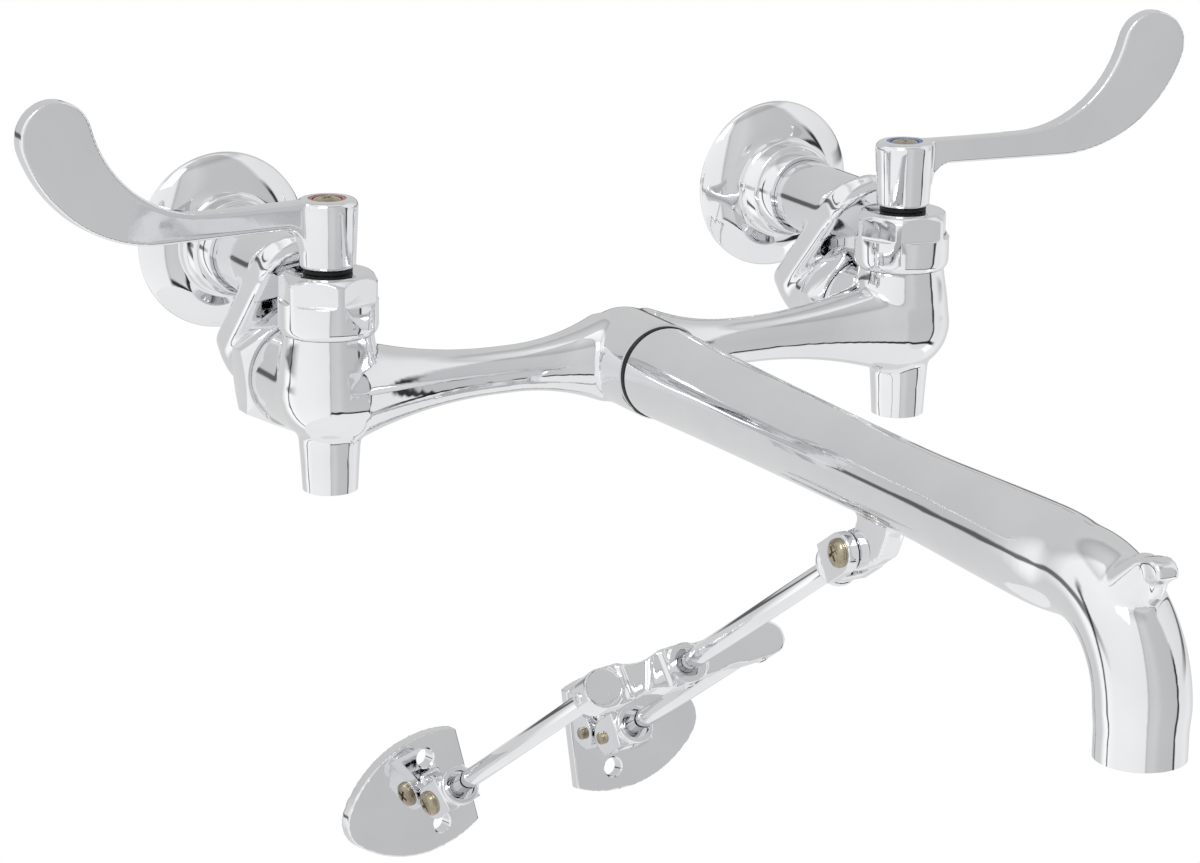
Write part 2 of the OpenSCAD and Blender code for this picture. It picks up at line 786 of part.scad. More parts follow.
module spout_bore() {
    bar_y(waterway_r, -bend_y, 0);
    spout_bend(waterway_r);
    translate([0, -spout_reach, -outlet_drop - 1])
        cylinder(r = outlet_bore_r, h = outlet_drop - bend_r + 1);
}

// The horn that keeps a pail's bail from sliding off the spout, on its flared base.
module pail_hook() {
    translate([0, -spout_reach + horn_root_y, -horn_root_drop])
        rotate([horn_tilt, 0, 0])
            cylinder(r1 = horn_root_r, r2 = horn_top_r, h = horn_length);
    translate([-hook_w / 2, -spout_reach, 0])
        rotate([90, 0, 90])
            linear_extrude(hook_w)
                polygon(concat(hook_back, arc(hook_nose, hook_nose_r, 85, 205, 6), hook_notch));
}

// The lug under the spout that the brace hinges on.
module spout_lug() {
    foot = brace_hinge_drop - spout_waist_r + lug_root;
    translate([-lug_t / 2, -brace_hinge_y, -brace_hinge_drop])
        rotate([90, 0, 90])
            linear_extrude(lug_t) {
                circle(lug_r);
                polygon(concat([[0, -lug_r + 0.4]], lug_back,
                    [[lug_back[1][0], foot], [lug_front[0][0], foot]], lug_front));
            }
}

module spout() color("silver") {
    at_hub()
        difference() {
            union() {
                spout_tube();
                pail_hook();
                spout_lug();
            }
            spout_bore();
            translate([0, -brace_hinge_y, -brace_hinge_drop])
                bar_x(pin_bore_r, -big / 2, big / 2);
        }
}

// ---- Brace ----

// Origin at the spout hinge, +Y down along the upper rod.
module in_brace() {
    translate([0, -valve_reach - brace_hinge_y, -inlet_rise - brace_hinge_drop])
        rotate([-brace_slope, 0, 0])
            children();
}

// Origin in the middle of the crossbar, X along it.
module in_crossbar() {
    in_brace()
        translate([0, crossbar_y, 0])
            rotate([0, -brace_roll, 0])
                children();
}

// Origin at a wall hinge, +Y on along the leg, turned with the clevis.
module in_wall_clevis(side) {
    in_brace()
        rotate([0, -brace_roll, 0])
            translate([side * leg_offset, leg_hinge(side), 0])
                rotate([0, brace_roll - (side < 0 ? clevis_roll_left : clevis_roll_right), 0])
                    children();
}

// A fork with its hinge at the origin and its rod socket at +Y.
module clevis() {
    inner = lug_t / 2 + side_gap;
    outer = inner + ear_t;
    difference() {
        union() {
            for (side = [-1, 1])
                translate([side > 0 ? inner : -outer, 0, 0])
                    rotate([90, 0, 90])
                        linear_extrude(ear_t) {
                            circle(ear_r);
                            translate([0, -ear_r])
                                square([clevis_floor + 0.5, 2 * ear_r]);
                        }
            translate([-outer, clevis_floor, -ear_r])
                cube([2 * outer, 3, 2 * ear_r]);
            bar_y(socket_r - 0.6, clevis_floor, clevis_length - 1);
            bar_y(collar_lip_r, clevis_length - collar_lip, clevis_length);
        }
        bar_x(pin_bore_r, -big / 2, big / 2);
        bar_y(rod_bore_r, rod_stop, big);
    }
}

// The hinge screw of a clevis, its head on the -X side.
module hinge_screw() {
    outer = lug_t / 2 + side_gap + ear_t;
    bar_x(hinge_pin_r, -outer, outer + pin_tail);
    translate([-outer - hinge_head_h, 0, 0])
        rotate([0, 90, 0])
            cylinder(r1 = hinge_head_r - 0.5, r2 = hinge_head_r, h = hinge_head_h);
}

module spout_clevis() color("silver") in_brace() clevis();
module spout_clevis_screw() color("tan") in_brace() hinge_screw();

module brace_rod() color("silver") {
    in_brace() bar_y(rod_r, rod_stop, crossbar_y + crossbar_t / 2 + rod_overrun);
}

module crossbar() color("silver") {
    in_crossbar()
        difference() {
            translate([0, crossbar_t / 2, 0])
                rotate([90, 0, 0])
                    linear_extrude(crossbar_t)
                        crossbar_outline();
            bar_y(rod_bore_r, -big, big);
            for (side = [LEFT, RIGHT])
                translate([side * leg_offset, 0, 0])
                    bar_y(rod_bore_r, crossbar_t / 2 - leg_socket_depth, big);
            at_set_screws() cylinder(r = set_screw_r, h = crossbar_boss_r + 1);
        }
}

// Three bosses joined by two waisted webs.
module crossbar_outline() {
    waist_arc_r = 18;
    for (x = [-leg_offset, 0])
        translate([x, 0])
            circle(crossbar_boss_r);
    translate([leg_offset, 0])
        circle(crossbar_end_r);
    difference() {
        union() {
            translate([-leg_offset, -crossbar_boss_r])
                square([leg_offset, 2 * crossbar_boss_r]);
            translate([0, -crossbar_end_r])
                square([leg_offset, 2 * crossbar_end_r]);
        }
        for (x = [-leg_offset / 2, leg_offset / 2], z = [-1, 1])
            translate([x, z * (crossbar_waist + waist_arc_r)])
                circle(waist_arc_r);
    }
}

// Places each set screw with +Z pointing out of its boss.
module at_set_screws() {
    translate([-leg_offset, 1, 0])
        rotate([0, -90, 0])
            children();
    translate([0, 0, 0])
        rotate([180, 0, 0])
            children();
    translate([leg_offset, 1, 0])
        rotate([180, 0, 0])
            children();
}

module crossbar_set_screws() color("silver") {
    in_crossbar()
        at_set_screws()
            translate([0, 0, rod_r + running_gap])
                cylinder(r = set_screw_r, h = crossbar_boss_r + set_screw_out - rod_r - running_gap);
}

module brace_leg(side) {
    in_brace()
        rotate([0, -brace_roll, 0])
            translate([side * leg_offset, 0, 0])
                bar_y(rod_r, crossbar_y + crossbar_t / 2 - leg_socket_depth, leg_hinge(side) - rod_stop);
}

module brace_leg_left() color("silver") brace_leg(LEFT);
module brace_leg_right() color("silver") brace_leg(RIGHT);
module wall_clevis_left() color("silver") in_wall_clevis(LEFT) rotate(180) clevis();
module wall_clevis_right() color("silver") in_wall_clevis(RIGHT) rotate(180) clevis();
module wall_clevis_screw_left() color("tan") in_wall_clevis(LEFT) hinge_screw();
module wall_clevis_screw_right() color("tan") in_wall_clevis(RIGHT) rotate(180) hinge_screw();

// ---- Wall plates ----

// X runs away from the straight edge, and the hole line is at X = 0.
module plate_outline() {
    translate([-plate_hole_x, 0]) {
        intersection() {
            translate(plate_side)
                circle(plate_side_r);
            mirror([0, 1])
                translate(plate_side)
                    circle(plate_side_r);
            translate([0, -big / 2])
                square([plate_nose_join, big]);
        }
        translate(plate_nose)
            circle(plate_nose_r);
    }
}

// Hinge at the origin, wall at +Y.
module wall_plate() {
    difference() {
        union() {
            translate([0, plate_hinge_h + plate_t, 0])
                rotate([90, 0, 0])
                    linear_extrude(plate_t)
                        plate_outline();
            translate([-lug_t / 2, 0, 0])
                rotate([90, 0, 90])
                    linear_extrude(lug_t) {
                        circle(lug_r);
                        polygon([[0, -lug_r], [0, lug_r], [plate_hinge_h + 1, lug_r + plate_lug_flare],
                            [plate_hinge_h + 1, -lug_r - plate_lug_flare]]);
                    }
        }
        bar_x(pin_bore_r, -big / 2, big / 2);
        for (z = [-1, 1])
            translate([0, 0, z * plate_hole_spacing / 2])
                bar_y(plate_hole_r, 0, big);
    }
}

module in_wall_plate(side) {
    in_wall_clevis(side)
        rotate([brace_slope - (side < 0 ? plate_lean_left : plate_lean_right), 0, 0])
            children();
}

module wall_plate_left() color("silver") in_wall_plate(LEFT) mirror([1, 0, 0]) wall_plate();
module wall_plate_right() color("silver") in_wall_plate(RIGHT) wall_plate();

faucet_body();
bonnet_nut_left();
bonnet_nut_right();
stem_seal_left();
stem_seal_right();
valve_stem_left();
valve_stem_right();
seat_washer_left();
seat_washer_right();
handle_left();
handle_right();
index_ring_left();
index_ring_right();
handle_screw_left();
handle_screw_right();
stop_stem_left();
stop_stem_right();
union_nut_left();
union_nut_right();
inlet_gasket_left();
inlet_gasket_right();
swing_arm_left();
swing_arm_right();
wall_flange_left();
wall_flange_right();
spout_gasket();
spout();
spout_clevis();
spout_clevis_screw();
brace_rod();
crossbar();
crossbar_set_screws();
brace_leg_left();
brace_leg_right();
wall_clevis_left();
wall_clevis_right();
wall_clevis_screw_left();
wall_clevis_screw_right();
wall_plate_left();
wall_plate_right();
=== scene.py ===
import json
import math

import bpy
from mathutils import Matrix, Vector


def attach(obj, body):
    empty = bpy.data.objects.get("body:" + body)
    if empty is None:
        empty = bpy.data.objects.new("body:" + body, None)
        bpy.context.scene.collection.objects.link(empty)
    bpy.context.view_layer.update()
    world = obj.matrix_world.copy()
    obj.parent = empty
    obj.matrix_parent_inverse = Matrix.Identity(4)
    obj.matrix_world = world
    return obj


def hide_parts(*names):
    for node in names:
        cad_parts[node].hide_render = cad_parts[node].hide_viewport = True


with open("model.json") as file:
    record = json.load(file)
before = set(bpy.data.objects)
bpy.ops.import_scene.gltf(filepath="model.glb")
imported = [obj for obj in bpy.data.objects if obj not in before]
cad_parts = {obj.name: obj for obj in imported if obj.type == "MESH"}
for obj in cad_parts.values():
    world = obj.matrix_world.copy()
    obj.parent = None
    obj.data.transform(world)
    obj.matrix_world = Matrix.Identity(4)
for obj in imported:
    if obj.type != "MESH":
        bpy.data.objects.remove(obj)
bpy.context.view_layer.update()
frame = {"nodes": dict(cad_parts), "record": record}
print("frame loaded")

mm = 0.001  # the dictionaries are in millimetres and degrees, Blender works in metres

shot = {
    "place": (-0.56080, -1.12983, 0.27340),  # metres
    "azimuth": -27.83,
    "elevation": 15.48,
    "roll": 0.45,
    "lens": 116.7,
    "sensor": 36,
    "clip": (0.05, 50),  # metres
}


def addCamera():
    az = math.radians(shot["azimuth"])
    el = math.radians(shot["elevation"])
    roll = math.radians(shot["roll"])
    back = Vector((math.sin(az) * math.cos(el), -math.cos(az) * math.cos(el), math.sin(el)))
    right = Vector((math.cos(az), math.sin(az), 0))
    up = back.cross(right)
    sideways = right * math.cos(roll) + up * math.sin(roll)
    upward = up * math.cos(roll) - right * math.sin(roll)
    data = bpy.data.cameras.new("camera")
    data.sensor_width = shot["sensor"]
    data.lens = shot["lens"]
    data.clip_start, data.clip_end = shot["clip"]
    camera = bpy.data.objects.new("camera", data)
    bpy.context.scene.collection.objects.link(camera)
    place = Vector(shot["place"])
    camera.matrix_world = Matrix([
        [sideways.x, upward.x, back.x, place.x],
        [sideways.y, upward.y, back.y, place.y],
        [sideways.z, upward.z, back.z, place.z],
        [0, 0, 0, 1],
    ])
    bpy.context.scene.camera = camera


addCamera()
print("camera placed")

noiseRange = (0.3, 0.7)  # where most values of a noise lie


def newMaterial(name, colour, metallic, roughness):
    material = bpy.data.materials.new(name)
    material.use_nodes = True
    shader = material.node_tree.nodes["Principled BSDF"]
    shader.inputs["Base Color"].default_value = (*colour, 1)
    shader.inputs["Metallic"].default_value = metallic
    shader.inputs["Roughness"].default_value = roughness
    return material, material.node_tree.nodes, material.node_tree.links, shader


def addNoise(nodes, links, scale, detail=3, rough=0.5, stretch=None):
    coordinate = nodes.new("ShaderNodeTexCoord")
    noise = nodes.new("ShaderNodeTexNoise")
    noise.inputs["Scale"].default_value = scale
    noise.inputs["Detail"].default_value = detail
    noise.inputs["Roughness"].default_value = rough
    if stretch:
        mapping = nodes.new("ShaderNodeMapping")
        mapping.inputs["Scale"].default_value = stretch
        links.new(coordinate.outputs["Object"], mapping.inputs["Vector"])
        links.new(mapping.outputs["Vector"], noise.inputs["Vector"])
    else:
        links.new(coordinate.outputs["Object"], noise.inputs["Vector"])
    return noise.outputs["Fac"]


def addTint(nodes, links, source, first, second, shader):
    ramp = nodes.new("ShaderNodeValToRGB")
    for stop, place, colour in zip(ramp.color_ramp.elements, noiseRange, (first, second)):
        stop.position = place
        stop.color = (*colour, 1)
    links.new(source, ramp.inputs["Fac"])
    links.new(ramp.outputs["Color"], shader.inputs["Base Color"])


def addHaze(nodes, links, source, low, high, shader):
    span = nodes.new("ShaderNodeMapRange")
    span.inputs["From Min"].default_value = noiseRange[0]
    span.inputs["From Max"].default_value = noiseRange[1]
    span.inputs["To Min"].default_value = low
    span.inputs["To Max"].default_value = high
    links.new(source, span.inputs["Value"])
    links.new(span.outputs["Result"], shader.inputs["Roughness"])


def addBump(nodes, links, shader, layers):
    last = None
    for source, depth in layers:
        bump = nodes.new("ShaderNodeBump")
        bump.inputs["Strength"].default_value = 1
        bump.inputs["Distance"].default_value = depth
        links.new(source, bump.inputs["Height"])
        if last:
            links.new(last, bump.inputs["Normal"])
        last = bump.outputs["Normal"]
    links.new(last, shader.inputs["Normal"])


chrome = {
    "thin": (0.76, 0.765, 0.78),
    "thick": (0.81, 0.815, 0.825),
    "platingScale": 38,
    "roughness": (0.025, 0.075),
    "hazeScale": 150,
    "swellScale": 55,
    "polishScale": 420,
    "castWaves": (0.00007, 0.000005),  # depths of the swell and the polish, in metres
    "turnedWaves": (0.00001, 0.000002),
}


def makeChrome(name, waves):
    material, nodes, links, shader = newMaterial(name, chrome["thick"], 1, chrome["roughness"][0])
    plating = addNoise(nodes, links, chrome["platingScale"], 4)
    addTint(nodes, links, plating, chrome["thin"], chrome["thick"], shader)
    haze = addNoise(nodes, links, chrome["hazeScale"], 5, 0.6)
    addHaze(nodes, links, haze, *chrome["roughness"], shader)
    swell = addNoise(nodes, links, chrome["swellScale"], 2, 0.4)
    polish = addNoise(nodes, links, chrome["polishScale"], 2, 0.5)
    addBump(nodes, links, shader, [(swell, waves[0]), (polish, waves[1])])
    return material


rubber = {
    "plain": (0.006, 0.006, 0.007),
    "dark": (0.004, 0.004, 0.0045),
    "bloom": (0.011, 0.011, 0.012),
    "specular": 0.25,
    "bloomScale": 260,
    "roughness": (0.38, 0.62),
    "pitScale": 1800,
    "pitDepth": 0.00004,  # metres
}


def makeRubber(name):
    material, nodes, links, shader = newMaterial(name, rubber["plain"], 0, 0.5)
    shader.inputs["Specular IOR Level"].default_value = rubber["specular"]
    bloom = addNoise(nodes, links, rubber["bloomScale"], 6, 0.65)
    addTint(nodes, links, bloom, rubber["dark"], rubber["bloom"], shader)
    addHaze(nodes, links, bloom, *rubber["roughness"], shader)
    pits = addNoise(nodes, links, rubber["pitScale"], 3)
    addBump(nodes, links, shader, [(pits, rubber["pitDepth"])])
    return material


turnedMetal = {
    "tarnishScale": 300,
    "grooveScale": 900,
    "grooveStretch": (1, 1, 6),
    "grooveDepth": 0.00003,  # metres
}


def makeTurnedMetal(name, dark, light, low, high):
    material, nodes, links, shader = newMaterial(name, light, 1, low)
    tarnish = addNoise(nodes, links, turnedMetal["tarnishScale"], 5, 0.6)
    addTint(nodes, links, tarnish, dark, light, shader)
    addHaze(nodes, links, tarnish, low, high, shader)
    grooves = addNoise(nodes, links, turnedMetal["grooveScale"], 2, 0.5, turnedMetal["grooveStretch"])
    addBump(nodes, links, shader, [(grooves, turnedMetal["grooveDepth"])])
    return material


enamel = {
    "coat": 0.3,
    "fadeScale": 420,
    "roughness": (0.28, 0.5),
    "grainScale": 2400,
    "grainDepth": 0.00002,  # metres
}


def makeEnamel(name, dark, light):
    material, nodes, links, shader = newMaterial(name, light, 0, 0.35)
    shader.inputs["Coat Weight"].default_value = enamel["coat"]
    fade = addNoise(nodes, links, enamel["fadeScale"], 5, 0.6)
    addTint(nodes, links, fade, dark, light, shader)
    addHaze(nodes, links, fade, *enamel["roughness"], shader)
    grain = addNoise(nodes, links, enamel["grainScale"], 3)
    addBump(nodes, links, shader, [(grain, enamel["grainDepth"])])
    return material


finishes = {
    "polished_chrome": makeChrome("castChrome", chrome["castWaves"]),
    "black_rubber": makeRubber("blackRubber"),
    "brass": makeTurnedMetal("turnedBrass", (0.42, 0.27, 0.10), (0.62, 0.43, 0.18), 0.16, 0.34),
    "index_red": makeEnamel("redIndex", (0.20, 0.05, 0.035), (0.36, 0.10, 0.07)),
    "index_blue": makeEnamel("blueIndex", (0.02, 0.06, 0.20), (0.05, 0.13, 0.34)),
    "nickel_screw": makeTurnedMetal("nickelScrew", (0.30, 0.255, 0.18), (0.52, 0.46, 0.35), 0.14, 0.3),
}
turnedChrome = makeChrome("turnedChrome", chrome["turnedWaves"])

slotOf = {part["node"]: part["material_slot"] for part in frame["record"]["subparts"]}
for nodeName, node in frame["nodes"].items():
    node.data.materials.clear()
    node.data.materials.append(finishes[slotOf[nodeName]])
print("materials ready")


def deselect():
    if bpy.context.object and bpy.context.object.mode != "OBJECT":
        bpy.ops.object.mode_set(mode="OBJECT")
    bpy.ops.object.select_all(action="DESELECT")


def take(piece):
    deselect()
    piece.select_set(True)
    bpy.context.view_layer.objects.active = piece


def applyAll(piece):
    take(piece)
    for modifier in list(piece.modifiers):
        bpy.ops.object.modifier_apply(modifier=modifier.name)


def pickFaces(piece, test):
    # leaves the piece in edit mode, with only the faces that pass the test selected
    take(piece)
    bpy.ops.object.mode_set(mode="EDIT")
    bpy.ops.mesh.select_mode(type="FACE")
    bpy.ops.mesh.select_all(action="DESELECT")
    bpy.ops.object.mode_set(mode="OBJECT")
    for face in piece.data.polygons:
        face.select = test(face)
    bpy.ops.object.mode_set(mode="EDIT")


def drawChain(name, points):
    # one vertex, extruded from point to point
    deselect()
    bpy.ops.mesh.primitive_plane_add(size=10 * mm, location=(0, 0, 0))
    piece = bpy.context.object
    piece.name = name
    bpy.ops.object.mode_set(mode="EDIT")
    bpy.ops.mesh.select_mode(type="VERT")
    bpy.ops.mesh.select_all(action="SELECT")
    bpy.ops.mesh.merge(type="CENTER")
    bpy.ops.transform.translate(value=points[0])
    for start, end in zip(points, points[1:]):
        bpy.ops.mesh.extrude_region_move(TRANSFORM_OT_translate={"value": end - start})
    bpy.ops.mesh.select_all(action="SELECT")
    return piece


def closeUp(piece):
    bpy.ops.mesh.select_all(action="SELECT")
    bpy.ops.mesh.remove_doubles(threshold=0.002 * mm)
    bpy.ops.mesh.normals_make_consistent(inside=False)
    bpy.ops.object.mode_set(mode="OBJECT")
    return piece


directions = {"x": Vector((1, 0, 0)), "y": Vector((0, 1, 0)), "z": Vector((0, 0, 1))}


def turned(name, profile, axis="z", centre=(0, 0, 0), steps=72):
    # the profile is a list of (radius, height along the axis)
    along = directions[axis]
    outward = directions["z"] if axis == "x" else directions["x"]
    middle = Vector(centre) * mm
    points = [middle + (outward * radius + along * height) * mm for radius, height in profile]
    piece = drawChain(name, points)
    bpy.ops.mesh.spin(steps=steps, angle=math.tau, center=middle, axis=along)
    return closeUp(piece)


def drawFace(name, outline, across, upward, start):
    middle = Vector(start) * mm
    points = [middle + (directions[across] * a + directions[upward] * b) * mm for a, b in outline]
    piece = drawChain(name, points)
    bpy.ops.mesh.edge_face_add()
    bpy.ops.mesh.select_all(action="SELECT")
    return piece


def prism(name, outline, across, upward, start, depth):
    piece = drawFace(name, outline, across, upward, start)
    bpy.ops.mesh.extrude_region_move(TRANSFORM_OT_translate={"value": Vector(depth) * mm})
    return closeUp(piece)


def joined(pieces):
    take(pieces[0])
    for piece in pieces[1:]:
        piece.select_set(True)
    bpy.ops.object.join()
    return pieces[0]


def copied(piece, name):
    twin = piece.copy()
    twin.data = piece.data.copy()
    twin.name = name
    bpy.context.scene.collection.objects.link(twin)
    return twin


def moveBy(place):
    return Matrix.Translation(Vector(place) * mm)


def turnBy(angle, axis):
    return Matrix.Rotation(math.radians(angle), 4, axis)


def placed(piece, matrix):
    take(piece)
    piece.matrix_world = matrix
    bpy.ops.object.transform_apply(location=True, rotation=True, scale=True)
    return piece


def melted(piece, voxel, rounds):
    # runs overlapping bodies into one casting and rounds its edges
    remesh = piece.modifiers.new("melt", "REMESH")
    remesh.mode = "VOXEL"
    remesh.voxel_size = voxel * mm
    relax = piece.modifiers.new("relax", "SMOOTH")
    relax.factor = 0.5
    relax.iterations = rounds
    applyAll(piece)
    return piece


def carved(piece, cutter, operation="DIFFERENCE"):
    cut = piece.modifiers.new("cut", "BOOLEAN")
    cut.operation = operation
    cut.solver = "EXACT"
    cut.object = cutter
    applyAll(piece)
    deselect()
    bpy.data.objects.remove(cutter)
    return piece


def bevelled(piece, width, segments=3, angle=30):
    bevel = piece.modifiers.new("bevel", "BEVEL")
    bevel.width = width * mm
    bevel.segments = segments
    bevel.limit_method = "ANGLE"
    bevel.angle_limit = math.radians(angle)
    bevel.use_clamp_overlap = True
    applyAll(piece)
    return piece


def smoothed(piece, angle=40):
    take(piece)
    bpy.ops.object.shade_smooth_by_angle(angle=math.radians(angle))
    return piece


def sliced(piece, place, outward):
    # cuts off what lies beyond the plane, and leaves the new face selected in edit mode
    pickFaces(piece, lambda face: True)
    bpy.ops.mesh.bisect(plane_co=place, plane_no=outward, use_fill=True, clear_outer=True)


def trimmed(piece, place, outward, lip=0, bore=None):
    # squares off an end with a small lip; a bore is (wall, how far it goes outwards)
    outward = Vector(outward)
    sliced(piece, Vector(place) * mm - outward * lip * mm / 2, outward)
    if lip:
        bpy.ops.mesh.inset(thickness=lip * mm, depth=lip * mm / 2)
    if bore:
        wall, length = bore
        bpy.ops.mesh.inset(thickness=wall * mm, depth=0)
        bpy.ops.mesh.extrude_region_move(TRANSFORM_OT_translate={"value": outward * length * mm})
    bpy.ops.object.mode_set(mode="OBJECT")
    return piece


def arc(centre, radius, start, end, steps=10):
    turns = [math.radians(start + (end - start) * i / steps) for i in range(steps + 1)]
    return [(centre[0] + radius * math.cos(t), centre[1] + radius * math.sin(t)) for t in turns]


def eased(stations, steps):
    # a smooth curve through all stations
    points = []
    for i in range(len(stations) - 1):
        before = stations[max(i - 1, 0)]
        a, b = stations[i], stations[i + 1]
        after = stations[min(i + 2, len(stations) - 1)]
        for k in range(steps):
            t = k / steps
            points.append(tuple(
                0.5 * (2 * q + (r - p) * t + (2 * p - 5 * q + 4 * r - s) * t * t
                       + (3 * q - p - 3 * r + s) * t ** 3)
                for p, q, r, s in zip(before, a, b, after)))
    points.append(stations[-1])
    return points


def finished(piece, slot, body, *nodes, material=None):
    piece.data.materials.clear()
    piece.data.materials.append(material or finishes[slot])
    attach(piece, body)
    if nodes:
        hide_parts(*nodes)


hub = (0, -84, -30)
spacing = 203.2
valves = {"left": (-spacing / 2, hub[1], hub[2]), "right": (spacing / 2, hub[1], hub[2])}
spare = 3  # what a trim takes off an end, so that none of its softened edge is left

casting = {
    "waist": 7.45,
    "waistX": 40,
    "hubFlare": 77,
    "hubJoinX": 9,
    "valveFlare": 144.7,
    "valveFlareX": 46.04,
    "valveFlareTurn": 20.03,
    "bulb": 16.2,
    "hubRadius": 15.2,
    "hubLength": 24.6,
    "hubLip": 0.4,
    "neck": [(15.9, 0), (15.75, 4), (15.35, 8), (14.75, 12), (14.1, 16), (13.8, 18.5), (13.75, 21.5)],
    "neckTop": 18.5,
    "boss": [(8.3, -34), (8.5, -30.9), (9.0, -22), (9.9, -10)],
    "bossEnd": -30.9,
    "bossBore": (2.6, -1.4),
    "collar": 16,
    "collarEnd": 22.5,
    "nipple": (2.4, 5.7),
    "lip": 0.5,
    "steps": 72,
    "voxel": 0.75,
    "rounds": 14,
}


def makeCasting():
    c = casting
    hubTurn = math.degrees(math.asin((c["waistX"] - c["hubJoinX"]) / c["hubFlare"]))
    # half the casting: out of the hub to the waist, along the flare and round the bulb past the valve
    half = arc((c["waist"] + c["hubFlare"], c["waistX"]), c["hubFlare"], 180 + hubTurn, 180, 10)
    flare = c["valveFlare"]
    half += arc((c["waist"] + flare, c["valveFlareX"]), flare, 180, 180 - c["valveFlareTurn"], 16)
    half += arc((0, spacing / 2), c["bulb"], 0, 90, 12)
    profile = [(r, -x) for r, x in reversed(half)] + half
    bodies = [turned("casting", profile, "x", hub, c["steps"])]
    front = -c["hubLength"] - spare
    dome = [(0, front), (c["hubRadius"], front)] + arc((0, 0), c["hubRadius"], 0, 90, 10)
    bodies.append(turned("hubBarrel", dome, "y", hub, c["steps"]))
    for centre in valves.values():
        neck = [(0, 0)] + c["neck"] + [(0, c["neck"][-1][1])]
        bodies.append(turned("neck", neck, "z", centre, c["steps"]))
        boss = [(0, c["boss"][0][1])] + c["boss"] + [(0, c["boss"][-1][1])]
        bodies.append(turned("boss", boss, "z", centre, c["steps"]))
        back = c["collarEnd"] + spare
        collar = [(0, 0), (c["collar"], 0), (c["collar"], back), (0, back)]
        bodies.append(turned("collar", collar, "y", centre, c["steps"]))
    body = melted(joined(bodies), c["voxel"], c["rounds"])
    # each plane below cuts both valves at once
    trimmed(body, (0, hub[1], hub[2] + c["neckTop"]), (0, 0, 1))
    trimmed(body, (0, hub[1], hub[2] + c["bossEnd"]), (0, 0, -1), c["lip"], c["bossBore"])
    trimmed(body, (0, hub[1] + c["collarEnd"], hub[2]), (0, 1, 0), c["lip"], c["nipple"])
    trimmed(body, (0, hub[1] - c["hubLength"], hub[2]), (0, -1, 0), c["hubLip"])
    smoothed(body, angle=50)
    finished(body, "polished_chrome", "faucet", "faucet_body")


makeCasting()
print("casting made")

spout = {
    "stations": [(14.4, -22), (14.4, -26.4), (14.2, -35), (13.6, -60), (13.0, -96), (12.4, -150),
                 (12.4, -178), (13.1, -204), (13.8, -236), (12.9, -250)],
    "bendStart": -252.5,
    "bendRadius": 28.5,
    "bendTube": 12.8,
    "outlet": [(12.8, -28.5), (12.3, -34), (12.3, -44.8)],
    "outletEnd": -41.8,
    "overlap": 0.4,
    "bore": (2.3, -13.3),
    "root": -26.4,
    "rootLip": 0.4,
    "outletLip": 0.5,
    # the hook's foot is a tapered drop shape, tilted into the bend
    "horn": {"back": 12.4, "rear": 2.4, "front": 2.2, "forward": 10.3, "tall": 19, "topScale": 0.3},
    "hornPlace": (0, -272, -6),
    "hornTilt": 32,
    "noseWidth": 6.8,
    "nose": [(5.4, 8), (2.6, 11), (-1, 12.4), (-5, 13), (-7.4, 12.3), (-8.9, 10.4), (-9.3, 8.6),
             (-8.3, 7.6), (-3, 7), (5, 6)],
    "webWidth": 3.8,
    "web": [(5, 0), (4.8, 8), (-5, 10), (-8, 8), (-6.8, 5), (-5.8, 2.6), (-4, 0)],
    "noseRound": 3,
    "lugWidth": 6,
    "lug": [(5.9, 0), (5.6, 2), (4.2, 4.4), (1, 6.2), (-2.4, 7.8), (-3.2, 10), (-2.4, 15.6), (-22, 15.6),
            (-20.8, 11), (-19.6, 7.4), (-16.8, 2.4), (-11.4, -1.2), (-6.4, -3.8), (-3, -5.3), (0, -5.9),
            (3.2, -5), (5.2, -3)],
    "hinge": (0, -141.8, -25),
    "steps": 96,
    "ringSteps": 72,
    "bendSteps": 40,
    "voxel": 0.75,
    "rounds": 8,
}


def makeTube():
    s = spout
    stations = eased(s["stations"], 5) + [(s["bendTube"], s["bendStart"])]
    tube = [(0, stations[0][1])] + stations + [(0, stations[-1][1] - s["overlap"])]
    bodies = [turned("spout", tube, "y", hub, s["steps"])]
    start = (hub[0], hub[1] + s["bendStart"], hub[2])
    ring = arc((0, 0), s["bendTube"], 0, 360, s["ringSteps"])[:-1]
    bend = drawFace("bend", ring, "x", "z", start)
    pivot = Vector((0, start[1], start[2] - s["bendRadius"])) * mm
    bpy.ops.mesh.spin(steps=s["bendSteps"], angle=math.radians(90), center=pivot, axis=(-1, 0, 0))
    bodies.append(closeUp(bend))
    outletPlace = (0, start[1] - s["bendRadius"], hub[2])
    end = [(0, s["outlet"][0][1] + s["overlap"])] + s["outlet"] + [(0, s["outlet"][-1][1])]
    bodies.append(turned("outlet", end, "z", outletPlace))
    return bodies, outletPlace


def makeHook(outletPlace):
    s = spout
    h = s["horn"]
    lean = math.degrees(math.asin((h["back"] - h["front"]) / (h["rear"] + h["forward"])))
    outline = arc((0, h["rear"]), h["back"], -lean, 180 + lean, 30)
    outline += arc((0, -h["forward"]), h["front"], 180 + lean, 360 - lean, 8)
    horn = prism("horn", outline, "x", "y", (0, 0, 0), (0, 0, h["tall"]))
    pickFaces(horn, lambda face: face.center.z > 0.99 * h["tall"] * mm)
    bpy.ops.transform.resize(value=(h["topScale"], h["topScale"], 1), center_override=(0, 0, 0))
    bpy.ops.object.mode_set(mode="OBJECT")
    bodies = [placed(horn, moveBy(Vector(hub) + Vector(s["hornPlace"])) @ turnBy(s["hornTilt"], "X"))]
    for name in ("nose", "web"):
        wide = s[name + "Width"]
        plate = prism(name, s[name], "y", "z", (-wide / 2, outletPlace[1], hub[2]), (wide, 0, 0))
        bodies.append(bevelled(plate, s["noseRound"], 4, 35))
    return bodies


